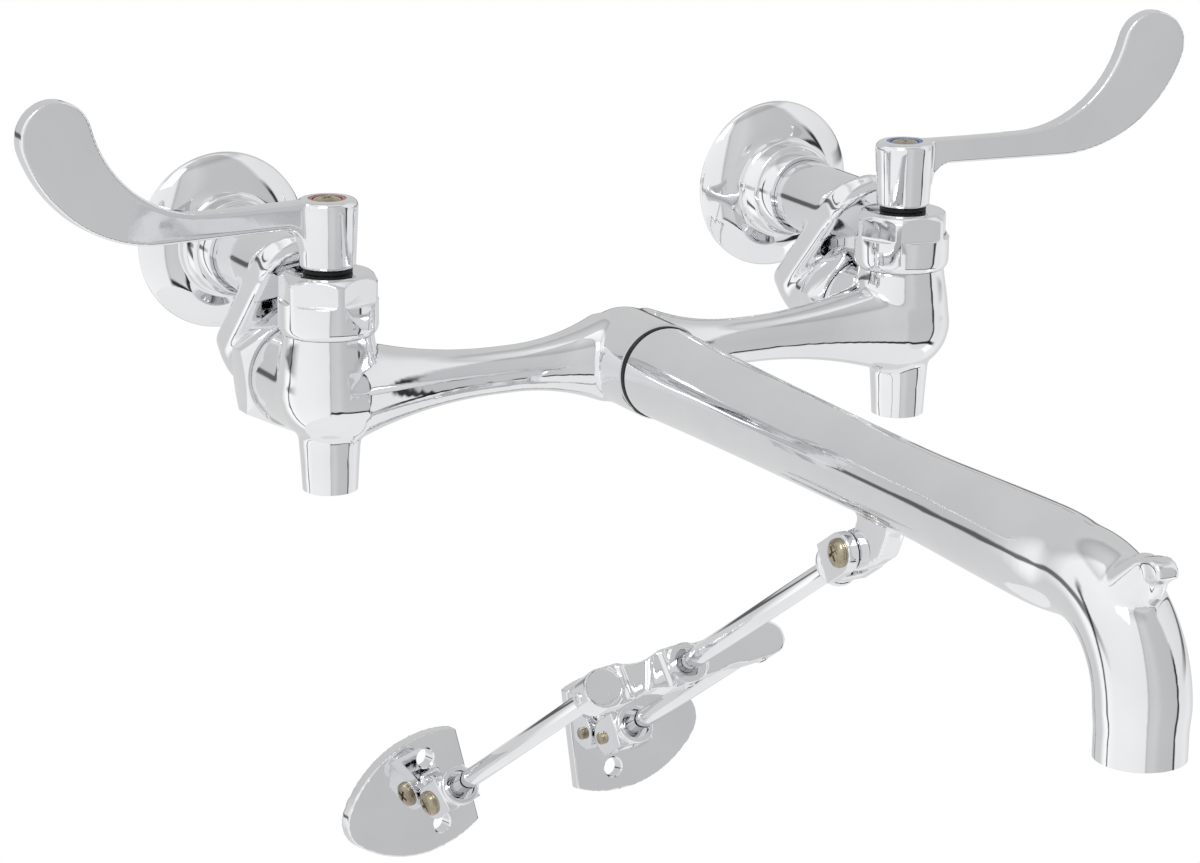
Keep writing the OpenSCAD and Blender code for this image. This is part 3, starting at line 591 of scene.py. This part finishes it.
def makeSpout():
    s = spout
    bodies, outletPlace = makeTube()
    bodies += makeHook(outletPlace)
    lugStart = (-s["lugWidth"] / 2, hub[1] + s["hinge"][1], hub[2] + s["hinge"][2])
    bodies.append(prism("lug", s["lug"], "y", "z", lugStart, (s["lugWidth"], 0, 0)))
    body = melted(joined(bodies), s["voxel"], s["rounds"])
    trimmed(body, (0, hub[1] + s["root"], hub[2]), (0, 1, 0), s["rootLip"])
    trimmed(body, (0, outletPlace[1], hub[2] + s["outletEnd"]), (0, 0, -1), s["outletLip"], s["bore"])
    smoothed(body, angle=50)
    finished(body, "polished_chrome", "faucet", "spout")


makeSpout()
print("spout made")

handle = {
    "foot": (8.5, 38.75),
    "top": (9.45, 59.65),
    "rim": 2,
    "armBottom": 52.2,
    "armTop": 59.6,
    "armX": (24, 30),  # where the straight top and bottom of the arm end
    "bend": (55, 98.4),
    "outer": 46.2,
    "inner": 39.03,
    "innerX": 40,
    "tip": 10.8,
    "tipAngle": 19.9,
    "tipEase": (12, 8),
    "thick": 6,
    "swell": 0.4,  # added all round, because relaxing draws the blade in
    "topSwell": 0.15,
    "fillet": (9.05, 6.4),
    "turns": {"left": 184.5, "right": -6.8},
    "recess": (5.85, 1.2),
    "recessTop": 70,
    "recessSteps": 96,
    "voxel": 0.55,
    "rounds": 8,
}


def bladeOutline():
    h = handle
    swell = h["swell"]
    fall = math.radians(h["tipAngle"])
    reach = h["outer"] - h["tip"]
    tip = (h["bend"][0] + reach * math.cos(fall), h["bend"][1] - reach * math.sin(fall))
    inner = (h["innerX"], h["armTop"] + h["inner"])
    meet = math.degrees(math.atan2(tip[1] - inner[1], tip[0] - inner[0]))
    rootX, fillet = h["fillet"]
    low = h["armBottom"] - swell
    high = h["armTop"] + h["topSwell"]
    outline = [(0, low - fillet)] + arc((rootX + fillet, low - fillet), fillet, 180, 90, 8)
    outline += [(h["armX"][1], low)] + arc(h["bend"], h["outer"] + swell, -90, -h["tipAngle"], 26)
    outline += arc(tip, h["tip"] + swell, h["tipEase"][0] - h["tipAngle"], 180 + meet - h["tipEase"][1], 22)
    outline += arc(inner, h["inner"] - swell, meet, -90, 22)
    return outline + [(h["armX"][0], high), (0, high)]


def makeHandles():
    h = handle
    blade = prism("blade", bladeOutline(), "x", "z", (0, -h["thick"] / 2, 0), (0, h["thick"], 0))
    barrel = [(0, h["foot"][1]), h["foot"]]
    barrel += arc((h["top"][0] - h["rim"], h["top"][1] - h["rim"]), h["rim"], 0, 90, 6) + [(0, h["top"][1])]
    pattern = melted(joined([turned("handlePattern", barrel), blade]), h["voxel"], h["rounds"])
    radius, depth = h["recess"]
    low = h["top"][1] - depth
    recess = [(0, low), (radius, low), (radius, h["recessTop"]), (0, h["recessTop"])]
    carved(pattern, turned("recess", recess, steps=h["recessSteps"]))
    smoothed(pattern, angle=50)
    for side, centre in valves.items():
        spot = moveBy(centre) @ turnBy(h["turns"][side], "Z")
        lever = placed(copied(pattern, "lever_" + side), spot)
        finished(lever, "polished_chrome", "handle_" + side, "handle_" + side)
    bpy.data.objects.remove(pattern)


makeHandles()
print("handles made")

bonnet = {
    "flats": 27.4,
    "profile": [(0, 18.5), (13.5, 18.5), (14.0, 18.65), (14.55, 19.1), (14.95, 19.75), (15.2, 20.6),
                (15.3, 21.7), (15.3, 34.7), (15.1, 35.3), (13.6, 36.6), (13.0, 37.0), (12.3, 37.2),
                (11.5, 37.2), (0, 37.2)],
    "flatStart": 28.7,
    "flatRound": 1.1,
    "mill": {"reach": 4, "wide": 16, "top": 42},
    "turns": {"left": 21, "right": 54},
    "edge": 0.45,
}
union = {
    "flats": 35,
    "start": 23,
    "end": 34,
    "chamfer": 2.4,
    "faceIn": 0.6,
    "cornerOut": 0.1,
    "turns": {"left": -25, "right": -15},
    "edge": 0.3,
    "thread": (13.08, 31.5),
    "throat": 11.1,
    "past": 1,  # how far the cutters pass the ends
}
nutSteps = 120


def hexOutline(flats, turn):
    corner = flats / math.sqrt(3)
    return [(corner * math.cos(math.radians(turn + 60 * k)), corner * math.sin(math.radians(turn + 60 * k)))
            for k in range(6)]


def millCutter(turn, centre):
    # the cutter of one flat, rounded where the flat runs out at its lower end
    b = bonnet
    near, low, rounding = b["flats"] / 2, b["flatStart"], b["flatRound"]
    far, top, wide = near + b["mill"]["reach"], b["mill"]["top"], b["mill"]["wide"]
    outline = [(far, low), (near + rounding, low)]
    outline += arc((near + rounding, low + rounding), rounding, 260, 180, 5) + [(near, top), (far, top)]
    cutter = prism("mill", outline, "x", "z", (0, -wide / 2, 0), (0, wide, 0))
    return placed(cutter, moveBy(centre) @ turnBy(turn, "Z"))


def makeBonnetNut(side, centre):
    b = bonnet
    nut = turned("bonnet_" + side, b["profile"], "z", centre, nutSteps)
    for k in range(6):
        carved(nut, millCutter(b["turns"][side] + 30 + 60 * k, centre))
    bevelled(nut, b["edge"], 3, 18)
    smoothed(nut, angle=30)
    finished(nut, "polished_chrome", "faucet", "bonnet_nut_" + side, material=turnedChrome)


def makeUnionNut(side, centre):
    u = union
    low, high = u["start"], u["end"]
    under, over = low - u["past"], high + u["past"]
    start = (centre[0], centre[1] + under, centre[2])
    hexagon = hexOutline(u["flats"], u["turns"][side])
    nut = prism("union_" + side, hexagon, "x", "z", start, (0, over - under, 0))
    # the chamfered ends come from a turned body that the hexagon is cut down to
    corner = u["flats"] / math.sqrt(3) + u["cornerOut"]
    face = u["flats"] / 2 - u["faceIn"]
    profile = [(0, low), (face, low), (corner, low + u["chamfer"]), (corner, high - u["chamfer"]),
               (face, high), (0, high)]
    carved(nut, turned("round", profile, "y", centre, nutSteps), "INTERSECT")
    radius, depth = u["thread"]
    inside = [(0, under), (radius, under), (radius, depth), (u["throat"], depth), (u["throat"], over),
              (0, over)]
    carved(nut, turned("inside", inside, "y", centre))
    bevelled(nut, u["edge"], 2, 25)
    smoothed(nut, angle=25)
    finished(nut, "polished_chrome", "union_" + side, "union_nut_" + side, material=turnedChrome)


for side, centre in valves.items():
    makeBonnetNut(side, centre)
    makeUnionNut(side, centre)
print("nuts made")

inlet = {
    "pipe": 12,
    "pipeStart": 10,
    "rise": 30,
    "linkStart": 54,
    "linkThick": 9.5,
    "linkRound": 1.6,
    "boss": 11,
    "elbow": 11.4,
    "elbowY": 55,
    "tail": (29.7, 31.5, 12.9),  # start, end and radius of the collar inside the union nut
    "wall": 84,
    "wallGap": 0.2,
    "lip": 0.4,
    "bore": (2.3, -16),
    "voxel": 0.8,
    "rounds": 14,
}
flange = {
    "outline": [(12.05, -22), (13.1, -22), (13.5, -21.6), (14.3, -15.2), (15.2, -14.9), (15.6, -14.4),
                (15.6, -9.4), (16.0, -8.8), (16.5, -8.4), (16.7, -7.4), (16.9, -6.6), (17.6, -6.2),
                (19.5, -5.9), (23, -4.6), (26.2, -2.6), (27.8, -1.4), (28.4, -0.7), (28.5, -0.2),
                (28.3, 0), (26.8, 0), (24.2, -1.6), (19.5, -3.6), (12.05, -4.0)],
    "steps": 120,
}


def makeSwingArm(side, centre):
    n = inlet
    x, y, z = centre
    across = n["rise"] * math.sqrt(2)  # the link climbs at 45 degrees
    outline = arc((0, 0), n["pipe"], 180, 360, 24) + arc((0, across), n["pipe"], 0, 180, 24)
    link = prism("arm_" + side, outline, "x", "z", (0, 0, 0), (0, n["linkThick"], 0))
    bevelled(link, n["linkRound"], 4, 40)
    spot = (x, y + n["linkStart"], z)
    placed(link, moveBy(spot) @ turnBy(45, "X"))
    tailStart, tailEnd, tail = n["tail"]
    boss = [(0, tailStart), (tail, tailStart), (tail, tailEnd), (n["boss"], tailEnd),
            (n["boss"], n["elbowY"]), (0, n["elbowY"])]
    pieces = [link, turned("boss", boss, "y", centre)]
    pieces.append(turned("elbow", arc((0, n["elbowY"]), n["elbow"], -90, 90, 18), "y", centre))
    low, high = n["pipeStart"], n["wall"] + spare
    line = (x, y, z + n["rise"])
    pipe = turned("pipe", [(0, low), (n["pipe"], low), (n["pipe"], high), (0, high)], "y", line)
    sliced(pipe, Vector(spot) * mm, Vector((0, -1, -1)).normalized())
    pieces.append(pipe)
    arm = melted(joined(pieces), n["voxel"], n["rounds"])
    trimmed(arm, (0, y + n["wall"] - n["wallGap"], 0), (0, 1, 0), n["lip"], n["bore"])
    smoothed(arm, angle=50)
    finished(arm, "polished_chrome", "inlet_" + side, "swing_arm_" + side)


def makeWallFlange(side, centre):
    outline = flange["outline"]
    plate = turned("flange_" + side, outline + [outline[0]], "y", (centre[0], 0, 0), flange["steps"])
    smoothed(plate)
    finished(plate, "polished_chrome", "inlet_" + side, "wall_flange_" + side, material=turnedChrome)


for side, centre in valves.items():
    makeSwingArm(side, centre)
    makeWallFlange(side, centre)
print("inlets made")

rings = {
    "seal": [(4.1, 37.2), (7.2, 37.2), (7.5, 37.5), (7.5, 38.4), (7.2, 38.7), (4.1, 38.7), (4.1, 37.2)],
    "gasket": [(10.5, -26.4), (14.35, -26.4), (14.6, -26.2), (14.6, -24.8), (14.35, -24.6), (10.5, -24.6),
               (10.5, -26.4)],
    "gasketSteps": 96,
}


def makeRings():
    for side, centre in valves.items():
        seal = turned("seal_" + side, rings["seal"], "z", centre)
        finished(smoothed(seal, angle=30), "black_rubber", "faucet", "stem_seal_" + side)
    gasket = turned("gasket", rings["gasket"], "y", hub, rings["gasketSteps"])
    finished(smoothed(gasket, angle=30), "black_rubber", "faucet", "spout_gasket")


makeRings()
print("rings made")

screws = {
    "handleHead": [(0, 44.65), (2, 44.65), (2, 58.45), (4.6, 58.45), (4.6, 58.8), (4.25, 59.35),
                   (3.3, 59.75), (1.8, 59.93), (0, 59.95)],
    "handleRecess": 58.9,
    "handleTurns": {"left": 28, "right": 61},
    "hingeHead": [(0, -8.6), (1.8, -8.55), (3.2, -8.25), (4.0, -7.7), (4.3, -7.0), (4.3, -6.4), (2.1, -6.4),
                  (2.1, 7.5), (1.7, 7.9), (0, 7.9)],
    "hingeRecess": -7.4,
    "crossLong": 2.3,
    "crossHalf": 0.48,
    "crossCutter": 3,
    "hingeCutter": 12,
    "edge": 0.1,
    "steps": 48,
}


def crossOutline():
    long, half = screws["crossLong"], screws["crossHalf"]
    corner = [(long, -half), (long, half), (half, half)]
    outline = []
    for k in range(4):
        c, t = math.cos(math.radians(90 * k)), math.sin(math.radians(90 * k))
        outline += [(c * a - t * b, t * a + c * b) for a, b in corner]
    return outline


def screwPattern(name, head, axis, cross):
    pattern = turned(name, head, axis, steps=screws["steps"])
    carved(pattern, cross)
    bevelled(pattern, screws["edge"], 2, 40)
    return smoothed(pattern, angle=35)


def makeHandleScrews():
    low = (0, 0, screws["handleRecess"])
    cross = prism("cross", crossOutline(), "x", "y", low, (0, 0, screws["crossCutter"]))
    pattern = screwPattern("screwPattern", screws["handleHead"], "z", cross)
    for side, centre in valves.items():
        spot = moveBy(centre) @ turnBy(screws["handleTurns"][side], "Z")
        screw = placed(copied(pattern, "topScrew_" + side), spot)
        finished(screw, "nickel_screw", "handle_" + side, "handle_screw_" + side)
    bpy.data.objects.remove(pattern)


def hingeScrew():
    outside = screws["hingeCutter"]
    depth = (outside + screws["hingeRecess"], 0, 0)
    cross = prism("cross", crossOutline(), "y", "z", (-outside, 0, 0), depth)
    return screwPattern("hingeScrewPattern", screws["hingeHead"], "x", cross)


brace = {
    "hinge": (0, -225.8, -55),
    "slope": 33,
    "roll": 7,
    "clevisRoll": {"left": 15.5, "right": 2.5},
    "lean": {"left": 3.5, "right": 11},
    "reach": {"left": 252.611, "right": 237.212},
    "crossbar": 122,
    "legOffset": {"left": -31, "right": 31},
    "rod": 3.175,
    "rodStart": 9,
    "rodEnd": [(0.6, 0), (0.15, 0.3), (0, 0.8)],  # in from the side and in from the end
    "rodSteps": 64,
    "overrun": 13,
    "socketDepth": 3,
    "clevisGap": 3.1,
    "clevisOuter": 6.4,
    "earRadius": 6,
    "clevisFloor": 8.4,
    "clevisWeb": 2.6,
    "socket": [(0, 7.6), (5.9, 7.6), (5.8, 12.2), (6.7, 12.7), (6.7, 14.2), (6.4, 14.5), (0, 14.5)],
    "clevisBore": [(0, 9.1), (3.22, 9.1), (3.22, 12.6), (4.9, 13.4), (5.1, 16), (0, 16)],
    "clevisSteps": 48,
    "voxel": 0.4,
    "rounds": 4,
}


def braceFrame():
    # y runs along the rods towards the wall
    return moveBy(brace["hinge"]) @ turnBy(-brace["slope"], "X")


def crossbarFrame():
    return braceFrame() @ moveBy((0, brace["crossbar"], 0)) @ turnBy(-brace["roll"], "Y")


def clevisFrame(side):
    spot = moveBy((brace["legOffset"][side], brace["reach"][side], 0))
    back = turnBy(brace["roll"] - brace["clevisRoll"][side], "Y")
    return braceFrame() @ turnBy(-brace["roll"], "Y") @ spot @ back


def plateFrame(side):
    return clevisFrame(side) @ turnBy(brace["slope"] - brace["lean"][side], "X")


def clevisPattern():
    b = brace
    half, outer, gap = b["earRadius"], b["clevisOuter"], b["clevisGap"]
    low, high = b["clevisFloor"], b["clevisFloor"] + b["clevisWeb"]
    ear = arc((0, 0), half, 90, 270, 24) + [(high, -half), (high, half)]
    web = [(low, -half), (high, -half), (high, half), (low, half)]
    pieces = [
        prism("clevisPattern", ear, "y", "z", (gap, 0, 0), (outer - gap, 0, 0)),
        prism("ear", ear, "y", "z", (-outer, 0, 0), (outer - gap, 0, 0)),
        prism("web", web, "y", "z", (-outer, 0, 0), (2 * outer, 0, 0)),
        turned("socket", b["socket"], "y", steps=b["clevisSteps"]),
    ]
    pattern = melted(joined(pieces), b["voxel"], b["rounds"])
    carved(pattern, turned("bore", b["clevisBore"], "y", steps=b["clevisSteps"]))
    return smoothed(pattern)


def makeClevises():
    fork, pin = clevisPattern(), hingeScrew()
    about = turnBy(180, "Z")
    spots = {"spout": (braceFrame(), braceFrame(), "spout_clevis", "spout_clevis", "spout_clevis_screw")}
    for side in valves:
        line = clevisFrame(side)
        head = line @ about if side == "right" else line  # the heads face outwards
        clevis, screw = "wall_clevis_" + side, "wall_clevis_screw_" + side
        spots[side] = (line @ about, head, clevis, clevis, screw)
    for name, (line, head, body, forkNode, screwNode) in spots.items():
        finished(placed(copied(fork, "fork_" + name), line), "polished_chrome", body, forkNode)
        finished(placed(copied(pin, "pin_" + name), head), "nickel_screw", body, screwNode)
    bpy.data.objects.remove(fork)
    bpy.data.objects.remove(pin)


def makeRods():
    b = brace
    r = b["rod"]
    runs = {"rod": (b["rodStart"], b["crossbar"] + b["overrun"], braceFrame(), "brace_rod", "brace_rod")}
    for side in valves:
        line = braceFrame() @ turnBy(-b["roll"], "Y") @ moveBy((b["legOffset"][side], 0, 0))
        start, end = b["crossbar"] - b["socketDepth"], b["reach"][side] - b["rodStart"]
        runs["leg_" + side] = (start, end, line, "crossbar", "brace_leg_" + side)
    for name, (start, end, line, body, node) in runs.items():
        profile = [(0, start)] + [(r - a, start + d) for a, d in b["rodEnd"]]
        profile += [(r - a, end - d) for a, d in reversed(b["rodEnd"])] + [(0, end)]
        rod = placed(turned(name, profile, "y", steps=b["rodSteps"]), line)
        finished(smoothed(rod), "polished_chrome", body, node, material=turnedChrome)


crossbar = {
    "half": 5,
    "webHalf": 4.3,
    "boss": 6.5,
    "endBoss": 5.4,
    "waist": 4.7,
    "waistArc": 18,
    "waistSteps": 24,
    # x, lean, width and half height of each ridge
    "ridges": [(-23.2, 0, 1.5, 5.4), (-14.2, 24, 1.3, 5.0), (-7.6, 0, 1.3, 5.8)],
    "ridgeProud": 0.3,
    "bore": 3.25,
    "sink": 4.6,
    "sinkEdge": 0.2,
    "throughSink": 1.4,
    "socketSink": 1.2,
    "socketIn": 0.3,
    "past": 9,
    "bossSteps": 64,
    "holeSteps": 48,
    "voxel": 0.45,
    "rounds": 3,
}


def crossbarBlank():
    c = crossbar
    offset = brace["legOffset"]["right"]
    pieces = []
    for sign, limit in ((-1, c["boss"]), (1, c["endBoss"])):
        top = []
        for k in range(c["waistSteps"] + 1):
            x = offset * k / c["waistSteps"]
            reach = c["waist"] + c["waistArc"] - math.sqrt(c["waistArc"] ** 2 - (x - offset / 2) ** 2)
            top.append((sign * x, min(limit, reach)))
        outline = top + [(x, -z) for x, z in reversed(top)]
        pieces.append(prism("crossbar", outline, "x", "z", (0, -c["webHalf"], 0), (0, 2 * c["webHalf"], 0)))
    bosses = ((-offset, c["boss"], c["half"]),
              (0, c["boss"], c["half"]),
              (offset, c["endBoss"], c["webHalf"]))
    for x, radius, half in bosses:
        profile = [(0, -half), (radius, -half), (radius, half), (0, half)]
        pieces.append(turned("boss", profile, "y", (x, 0, 0), c["bossSteps"]))
    deep = c["half"] + c["ridgeProud"]
    for x, lean, wide, tall in c["ridges"]:
        slant = math.tan(math.radians(lean)) * tall
        outline = [(x - wide / 2 + slant, tall), (x + wide / 2 + slant, tall),
                   (x + wide / 2 - slant, -tall), (x - wide / 2 - slant, -tall)]
        pieces.append(prism("ridge", outline, "x", "z", (0, -deep, 0), (0, 2 * deep, 0)))
    return melted(joined(pieces), c["voxel"], c["rounds"])


def makeCrossbar():
    c = crossbar
    bar = crossbarBlank()
    past, sink, bore = c["past"], c["sink"], c["bore"]
    edge, floor = c["half"] - c["sinkEdge"], c["half"] - c["throughSink"]
    # the rod's hole, countersunk at both faces
    through = [(0, -past), (sink, -past), (sink, -edge), (bore, -floor), (bore, floor), (sink, edge),
               (sink, past), (0, past)]
    carved(bar, turned("through", through, "y", steps=c["holeSteps"]))
    low, floor, wide = -brace["socketDepth"], c["half"] - c["socketSink"], sink - c["socketIn"]
    socket = [(0, low), (bore, low), (bore, floor), (wide, edge), (wide, past), (0, past)]
    for side in valves:
        place = (brace["legOffset"][side], 0, 0)
        carved(bar, turned("socket", socket, "y", place, c["holeSteps"]))
    smoothed(placed(bar, crossbarFrame()))
    finished(bar, "polished_chrome", "crossbar", "crossbar")


wallPlate = {
    "length": 49,
    "edge": 17.2,
    "side": 40.4,
    "nose": 10,
    "holeX": 14.2,
    "holeSpacing": 24.6,
    "hole": 3.25,
    "sink": 0.5,
    "sinkEdge": 0.1,
    "past": 20,
    "front": 7,
    "thick": 5,
    "lugWidth": 6,
    "lugRadius": 5.8,
    "lugRoot": (1, 1.2),
    "holeSteps": 40,
    "voxel": 0.5,
    "rounds": 4,
}


def plateOutline():
    # a straight edge, two side arcs and a round nose that they run into
    w = wallPlate
    nose = Vector((w["length"] - w["nose"], 0))
    corner = Vector((0, w["edge"]))
    span = (nose - corner).length
    along = (w["side"] ** 2 - (w["side"] - w["nose"]) ** 2 + span ** 2) / (2 * span)
    aside = math.sqrt(w["side"] ** 2 - along ** 2)
    lead = (nose - corner) / span
    centre = corner + lead * along + Vector((lead.y, -lead.x)) * aside
    start = math.degrees(math.atan2(corner.y - centre.y, corner.x - centre.x))
    meet = math.degrees(math.atan2(nose.y - centre.y, nose.x - centre.x))
    top = arc(centre, w["side"], start, meet, 22)
    outline = top + arc(nose, w["nose"], meet, -meet, 18)[1:-1] + [(x, -z) for x, z in reversed(top)]
    return [(x - w["holeX"], z) for x, z in outline]


def makeWallPlates():
    w = wallPlate
    front, radius = w["front"], w["lugRadius"]
    rootY, rootZ = front + w["lugRoot"][0], radius + w["lugRoot"][1]
    lug = arc((0, 0), radius, 90, 270, 20) + [(rootY, -rootZ), (rootY, rootZ)]
    pieces = [prism("platePattern", plateOutline(), "x", "z", (0, front, 0), (0, w["thick"], 0))]
    pieces.append(prism("lug", lug, "y", "z", (-w["lugWidth"] / 2, 0, 0), (w["lugWidth"], 0, 0)))
    pattern = melted(joined(pieces), w["voxel"], w["rounds"])
    wide, edge = w["hole"] + w["sink"], front + w["sinkEdge"]
    hole = [(0, 0), (wide, 0), (wide, edge), (w["hole"], edge + w["sink"]), (w["hole"], w["past"]),
            (0, w["past"])]
    for sign in (-1, 1):
        carved(pattern, turned("hole", hole, "y", (0, 0, sign * w["holeSpacing"] / 2), w["holeSteps"]))
    smoothed(pattern)
    for side in valves:
        mirror = Matrix.Scale(-1 if side == "left" else 1, 4, (1, 0, 0))
        plate = placed(copied(pattern, "wallPlate_" + side), plateFrame(side) @ mirror)
        pickFaces(plate, lambda face: True)
        bpy.ops.mesh.normals_make_consistent(inside=False)
        bpy.ops.object.mode_set(mode="OBJECT")
        finished(plate, "polished_chrome", "wall_plate_" + side, "wall_plate_" + side)
    bpy.data.objects.remove(pattern)


setScrew = {
    "radius": 1.9,
    "foot": 3.3,
    "edge": 0.3,
    "spots": [(-31, 1, -90, 7.1), (0, 0, 180, 7.1), (28.4, 1, 180, 6.0)],  # x, y, turn and height
    "socket": (0.95, 1.2),
    "keyCutter": 3,
    "steps": 40,
}


def makeSetScrews():
    pieces = []
    r, foot, edge = setScrew["radius"], setScrew["foot"], setScrew["edge"]
    across, deep = setScrew["socket"]
    for x, y, turn, end in setScrew["spots"]:
        profile = [(0, foot), (r, foot), (r, end - edge), (r - edge, end), (0, end)]
        screw = turned("setScrews", profile, steps=setScrew["steps"])
        key = hexOutline(2 * across, 0)
        carved(screw, prism("key", key, "x", "y", (0, 0, end - deep), (0, 0, setScrew["keyCutter"])))
        pieces.append(placed(screw, crossbarFrame() @ moveBy((x, y, 0)) @ turnBy(turn, "Y")))
    screw = smoothed(joined(pieces), angle=35)
    finished(screw, "polished_chrome", "crossbar", "crossbar_set_screws", material=turnedChrome)


makeHandleScrews()
makeClevises()
makeSetScrews()
makeRods()
makeCrossbar()
makeWallPlates()
print("brace made")

studio = {
    "turn": 117.83,  # puts the 0 degrees of the lists below at the front left
    # levels all round, then bands: where each acts, and its levels from straight down, -1, to up, 1
    "around": [(-180, 0.70), (-118, 0.70), (-104, 1.1), (-30, 1.08), (5, 1.04), (7.5, 0.55), (10, 0.74),
               (26, 0.78), (40, 0.68), (72, 0.66), (78, 0.66), (84, 1.0), (120, 0.95), (150, 0.70),
               (180, 0.70)],
    "bands": [
        ([(-180, 1.0), (180, 1.0)], [(-1, 1.0), (0.04, 0.95), (0.75, 1.0), (0.82, 0.75), (1, 1.1)]),
        ([(-180, 1.0), (-100, 1.0), (-70, 0.0), (100, 0.0), (130, 1.0), (180, 1.0)],
         [(-1, 1.12), (-0.11, 1.12), (-0.07, 0.2), (0.0, 0.2), (0.04, 1.0), (1, 1.0)]),
        ([(-180, 0.0), (6, 0.0), (9, 1.0), (92, 1.0), (110, 0.0), (180, 0.0)],
         [(-1, 1.35), (-0.63, 1.35), (-0.61, 0.04), (-0.56, 0.04), (-0.535, 1.0), (1, 1.0)]),
        ([(-180, 0.0), (-97, 0.0), (-95, 1.0), (-93, 1.0), (-91, 0.0), (180, 0.0)],
         [(-1, 0.05), (0.2, 0.05), (0.4, 1.0), (1, 1.0)]),
        ([(-180, 0.0), (77, 0.0), (79, 1.0), (83, 1.0), (85, 0.0), (180, 0.0)],
         [(-1, 1.0), (-0.6, 1.0), (-0.58, 0.05), (0.2, 0.05), (0.4, 1.0), (1, 1.0)]),
    ],
    "middle": (0, -0.2, 0),  # this and the next four are in metres
    "floorRadius": 0.42,
    "floorLevel": -0.45,
    "lamp": (-0.9, -0.9, 1.5),
    "lampSize": 0.7,
    "lampPower": 9,  # watts
    "floorColour": (0.93, 0.93, 0.93),
    "floorGlow": 0.78,
}


def addRamp(nodes, links, source, stops, low, high):
    span = nodes.new("ShaderNodeMapRange")
    span.inputs["From Min"].default_value = low
    span.inputs["From Max"].default_value = high
    links.new(source, span.inputs["Value"])
    ramp = nodes.new("ShaderNodeValToRGB")
    while len(ramp.color_ramp.elements) > 1:
        ramp.color_ramp.elements.remove(ramp.color_ramp.elements[0])
    for k, (place, level) in enumerate(stops):
        spot = (place - low) / (high - low)
        stop = ramp.color_ramp.elements[0] if k == 0 else ramp.color_ramp.elements.new(spot)
        stop.position = spot
        stop.color = (level, level, level, 1)
    links.new(span.outputs["Result"], ramp.inputs["Fac"])
    return ramp.outputs["Color"]


def addWorld():
    bpy.context.scene.view_settings.view_transform = "Standard"
    world = bpy.data.worlds.new("studio")
    bpy.context.scene.world = world
    world.use_nodes = True
    nodes = world.node_tree.nodes
    links = world.node_tree.links
    coordinate = nodes.new("ShaderNodeTexCoord")
    mapping = nodes.new("ShaderNodeMapping")
    mapping.inputs["Rotation"].default_value = (0, 0, math.radians(studio["turn"]))
    links.new(coordinate.outputs["Generated"], mapping.inputs["Vector"])
    split = nodes.new("ShaderNodeSeparateXYZ")
    links.new(mapping.outputs["Vector"], split.inputs[0])
    turn = nodes.new("ShaderNodeMath")
    turn.operation = "ARCTAN2"
    links.new(split.outputs["Y"], turn.inputs[0])
    links.new(split.outputs["X"], turn.inputs[1])
    degrees = nodes.new("ShaderNodeMath")
    degrees.operation = "DEGREES"
    links.new(turn.outputs[0], degrees.inputs[0])
    around = addRamp(nodes, links, degrees.outputs[0], studio["around"], -180, 180)
    for share, height in studio["bands"]:
        walls = nodes.new("ShaderNodeMix")
        walls.data_type = "RGBA"
        walls.blend_type = "MULTIPLY"
        links.new(addRamp(nodes, links, degrees.outputs[0], share, -180, 180), walls.inputs["Factor"])
        links.new(around, walls.inputs["A"])
        links.new(addRamp(nodes, links, split.outputs["Z"], height, -1, 1), walls.inputs["B"])
        around = walls.outputs["Result"]
    # the camera sees plain white behind the faucet
    rays = nodes.new("ShaderNodeLightPath")
    seen = nodes.new("ShaderNodeMix")
    seen.data_type = "RGBA"
    seen.inputs["B"].default_value = (1, 1, 1, 1)
    links.new(rays.outputs["Is Camera Ray"], seen.inputs["Factor"])
    links.new(around, seen.inputs["A"])
    links.new(seen.outputs["Result"], nodes["Background"].inputs["Color"])


def addFloor():
    place = (studio["middle"][0], studio["middle"][1], studio["floorLevel"])
    deselect()
    radius = studio["floorRadius"]
    bpy.ops.mesh.primitive_circle_add(vertices=96, radius=radius, fill_type="NGON", location=place)
    floor = bpy.context.object
    floor.name = "floor"
    material, nodes, links, shader = newMaterial("paleFloor", studio["floorColour"], 0, 0.6)
    shader.inputs["Specular IOR Level"].default_value = 0
    # partly lit by its own glow for camera and mirror rays, so that it fades into the background
    glow = nodes.new("ShaderNodeEmission")
    mix = nodes.new("ShaderNodeMixShader")
    rays = nodes.new("ShaderNodeLightPath")
    either = nodes.new("ShaderNodeMath")
    either.operation = "MAXIMUM"
    share = nodes.new("ShaderNodeMath")
    share.operation = "MULTIPLY"
    share.inputs[1].default_value = studio["floorGlow"]
    links.new(rays.outputs["Is Camera Ray"], either.inputs[0])
    links.new(rays.outputs["Is Glossy Ray"], either.inputs[1])
    links.new(either.outputs[0], share.inputs[0])
    links.new(share.outputs[0], mix.inputs[0])
    links.new(shader.outputs[0], mix.inputs[1])
    links.new(glow.outputs[0], mix.inputs[2])
    links.new(mix.outputs[0], nodes["Material Output"].inputs["Surface"])
    floor.data.materials.append(material)


def addLamp():
    deselect()
    bpy.ops.object.light_add(type="AREA", location=studio["lamp"])
    lamp = bpy.context.object
    lamp.data.size = studio["lampSize"]
    lamp.data.energy = studio["lampPower"]
    view = Vector(studio["middle"]) - Vector(studio["lamp"])
    lamp.rotation_euler = view.to_track_quat("-Z", "Y").to_euler()


addWorld()
addFloor()
addLamp()
print("studio set")
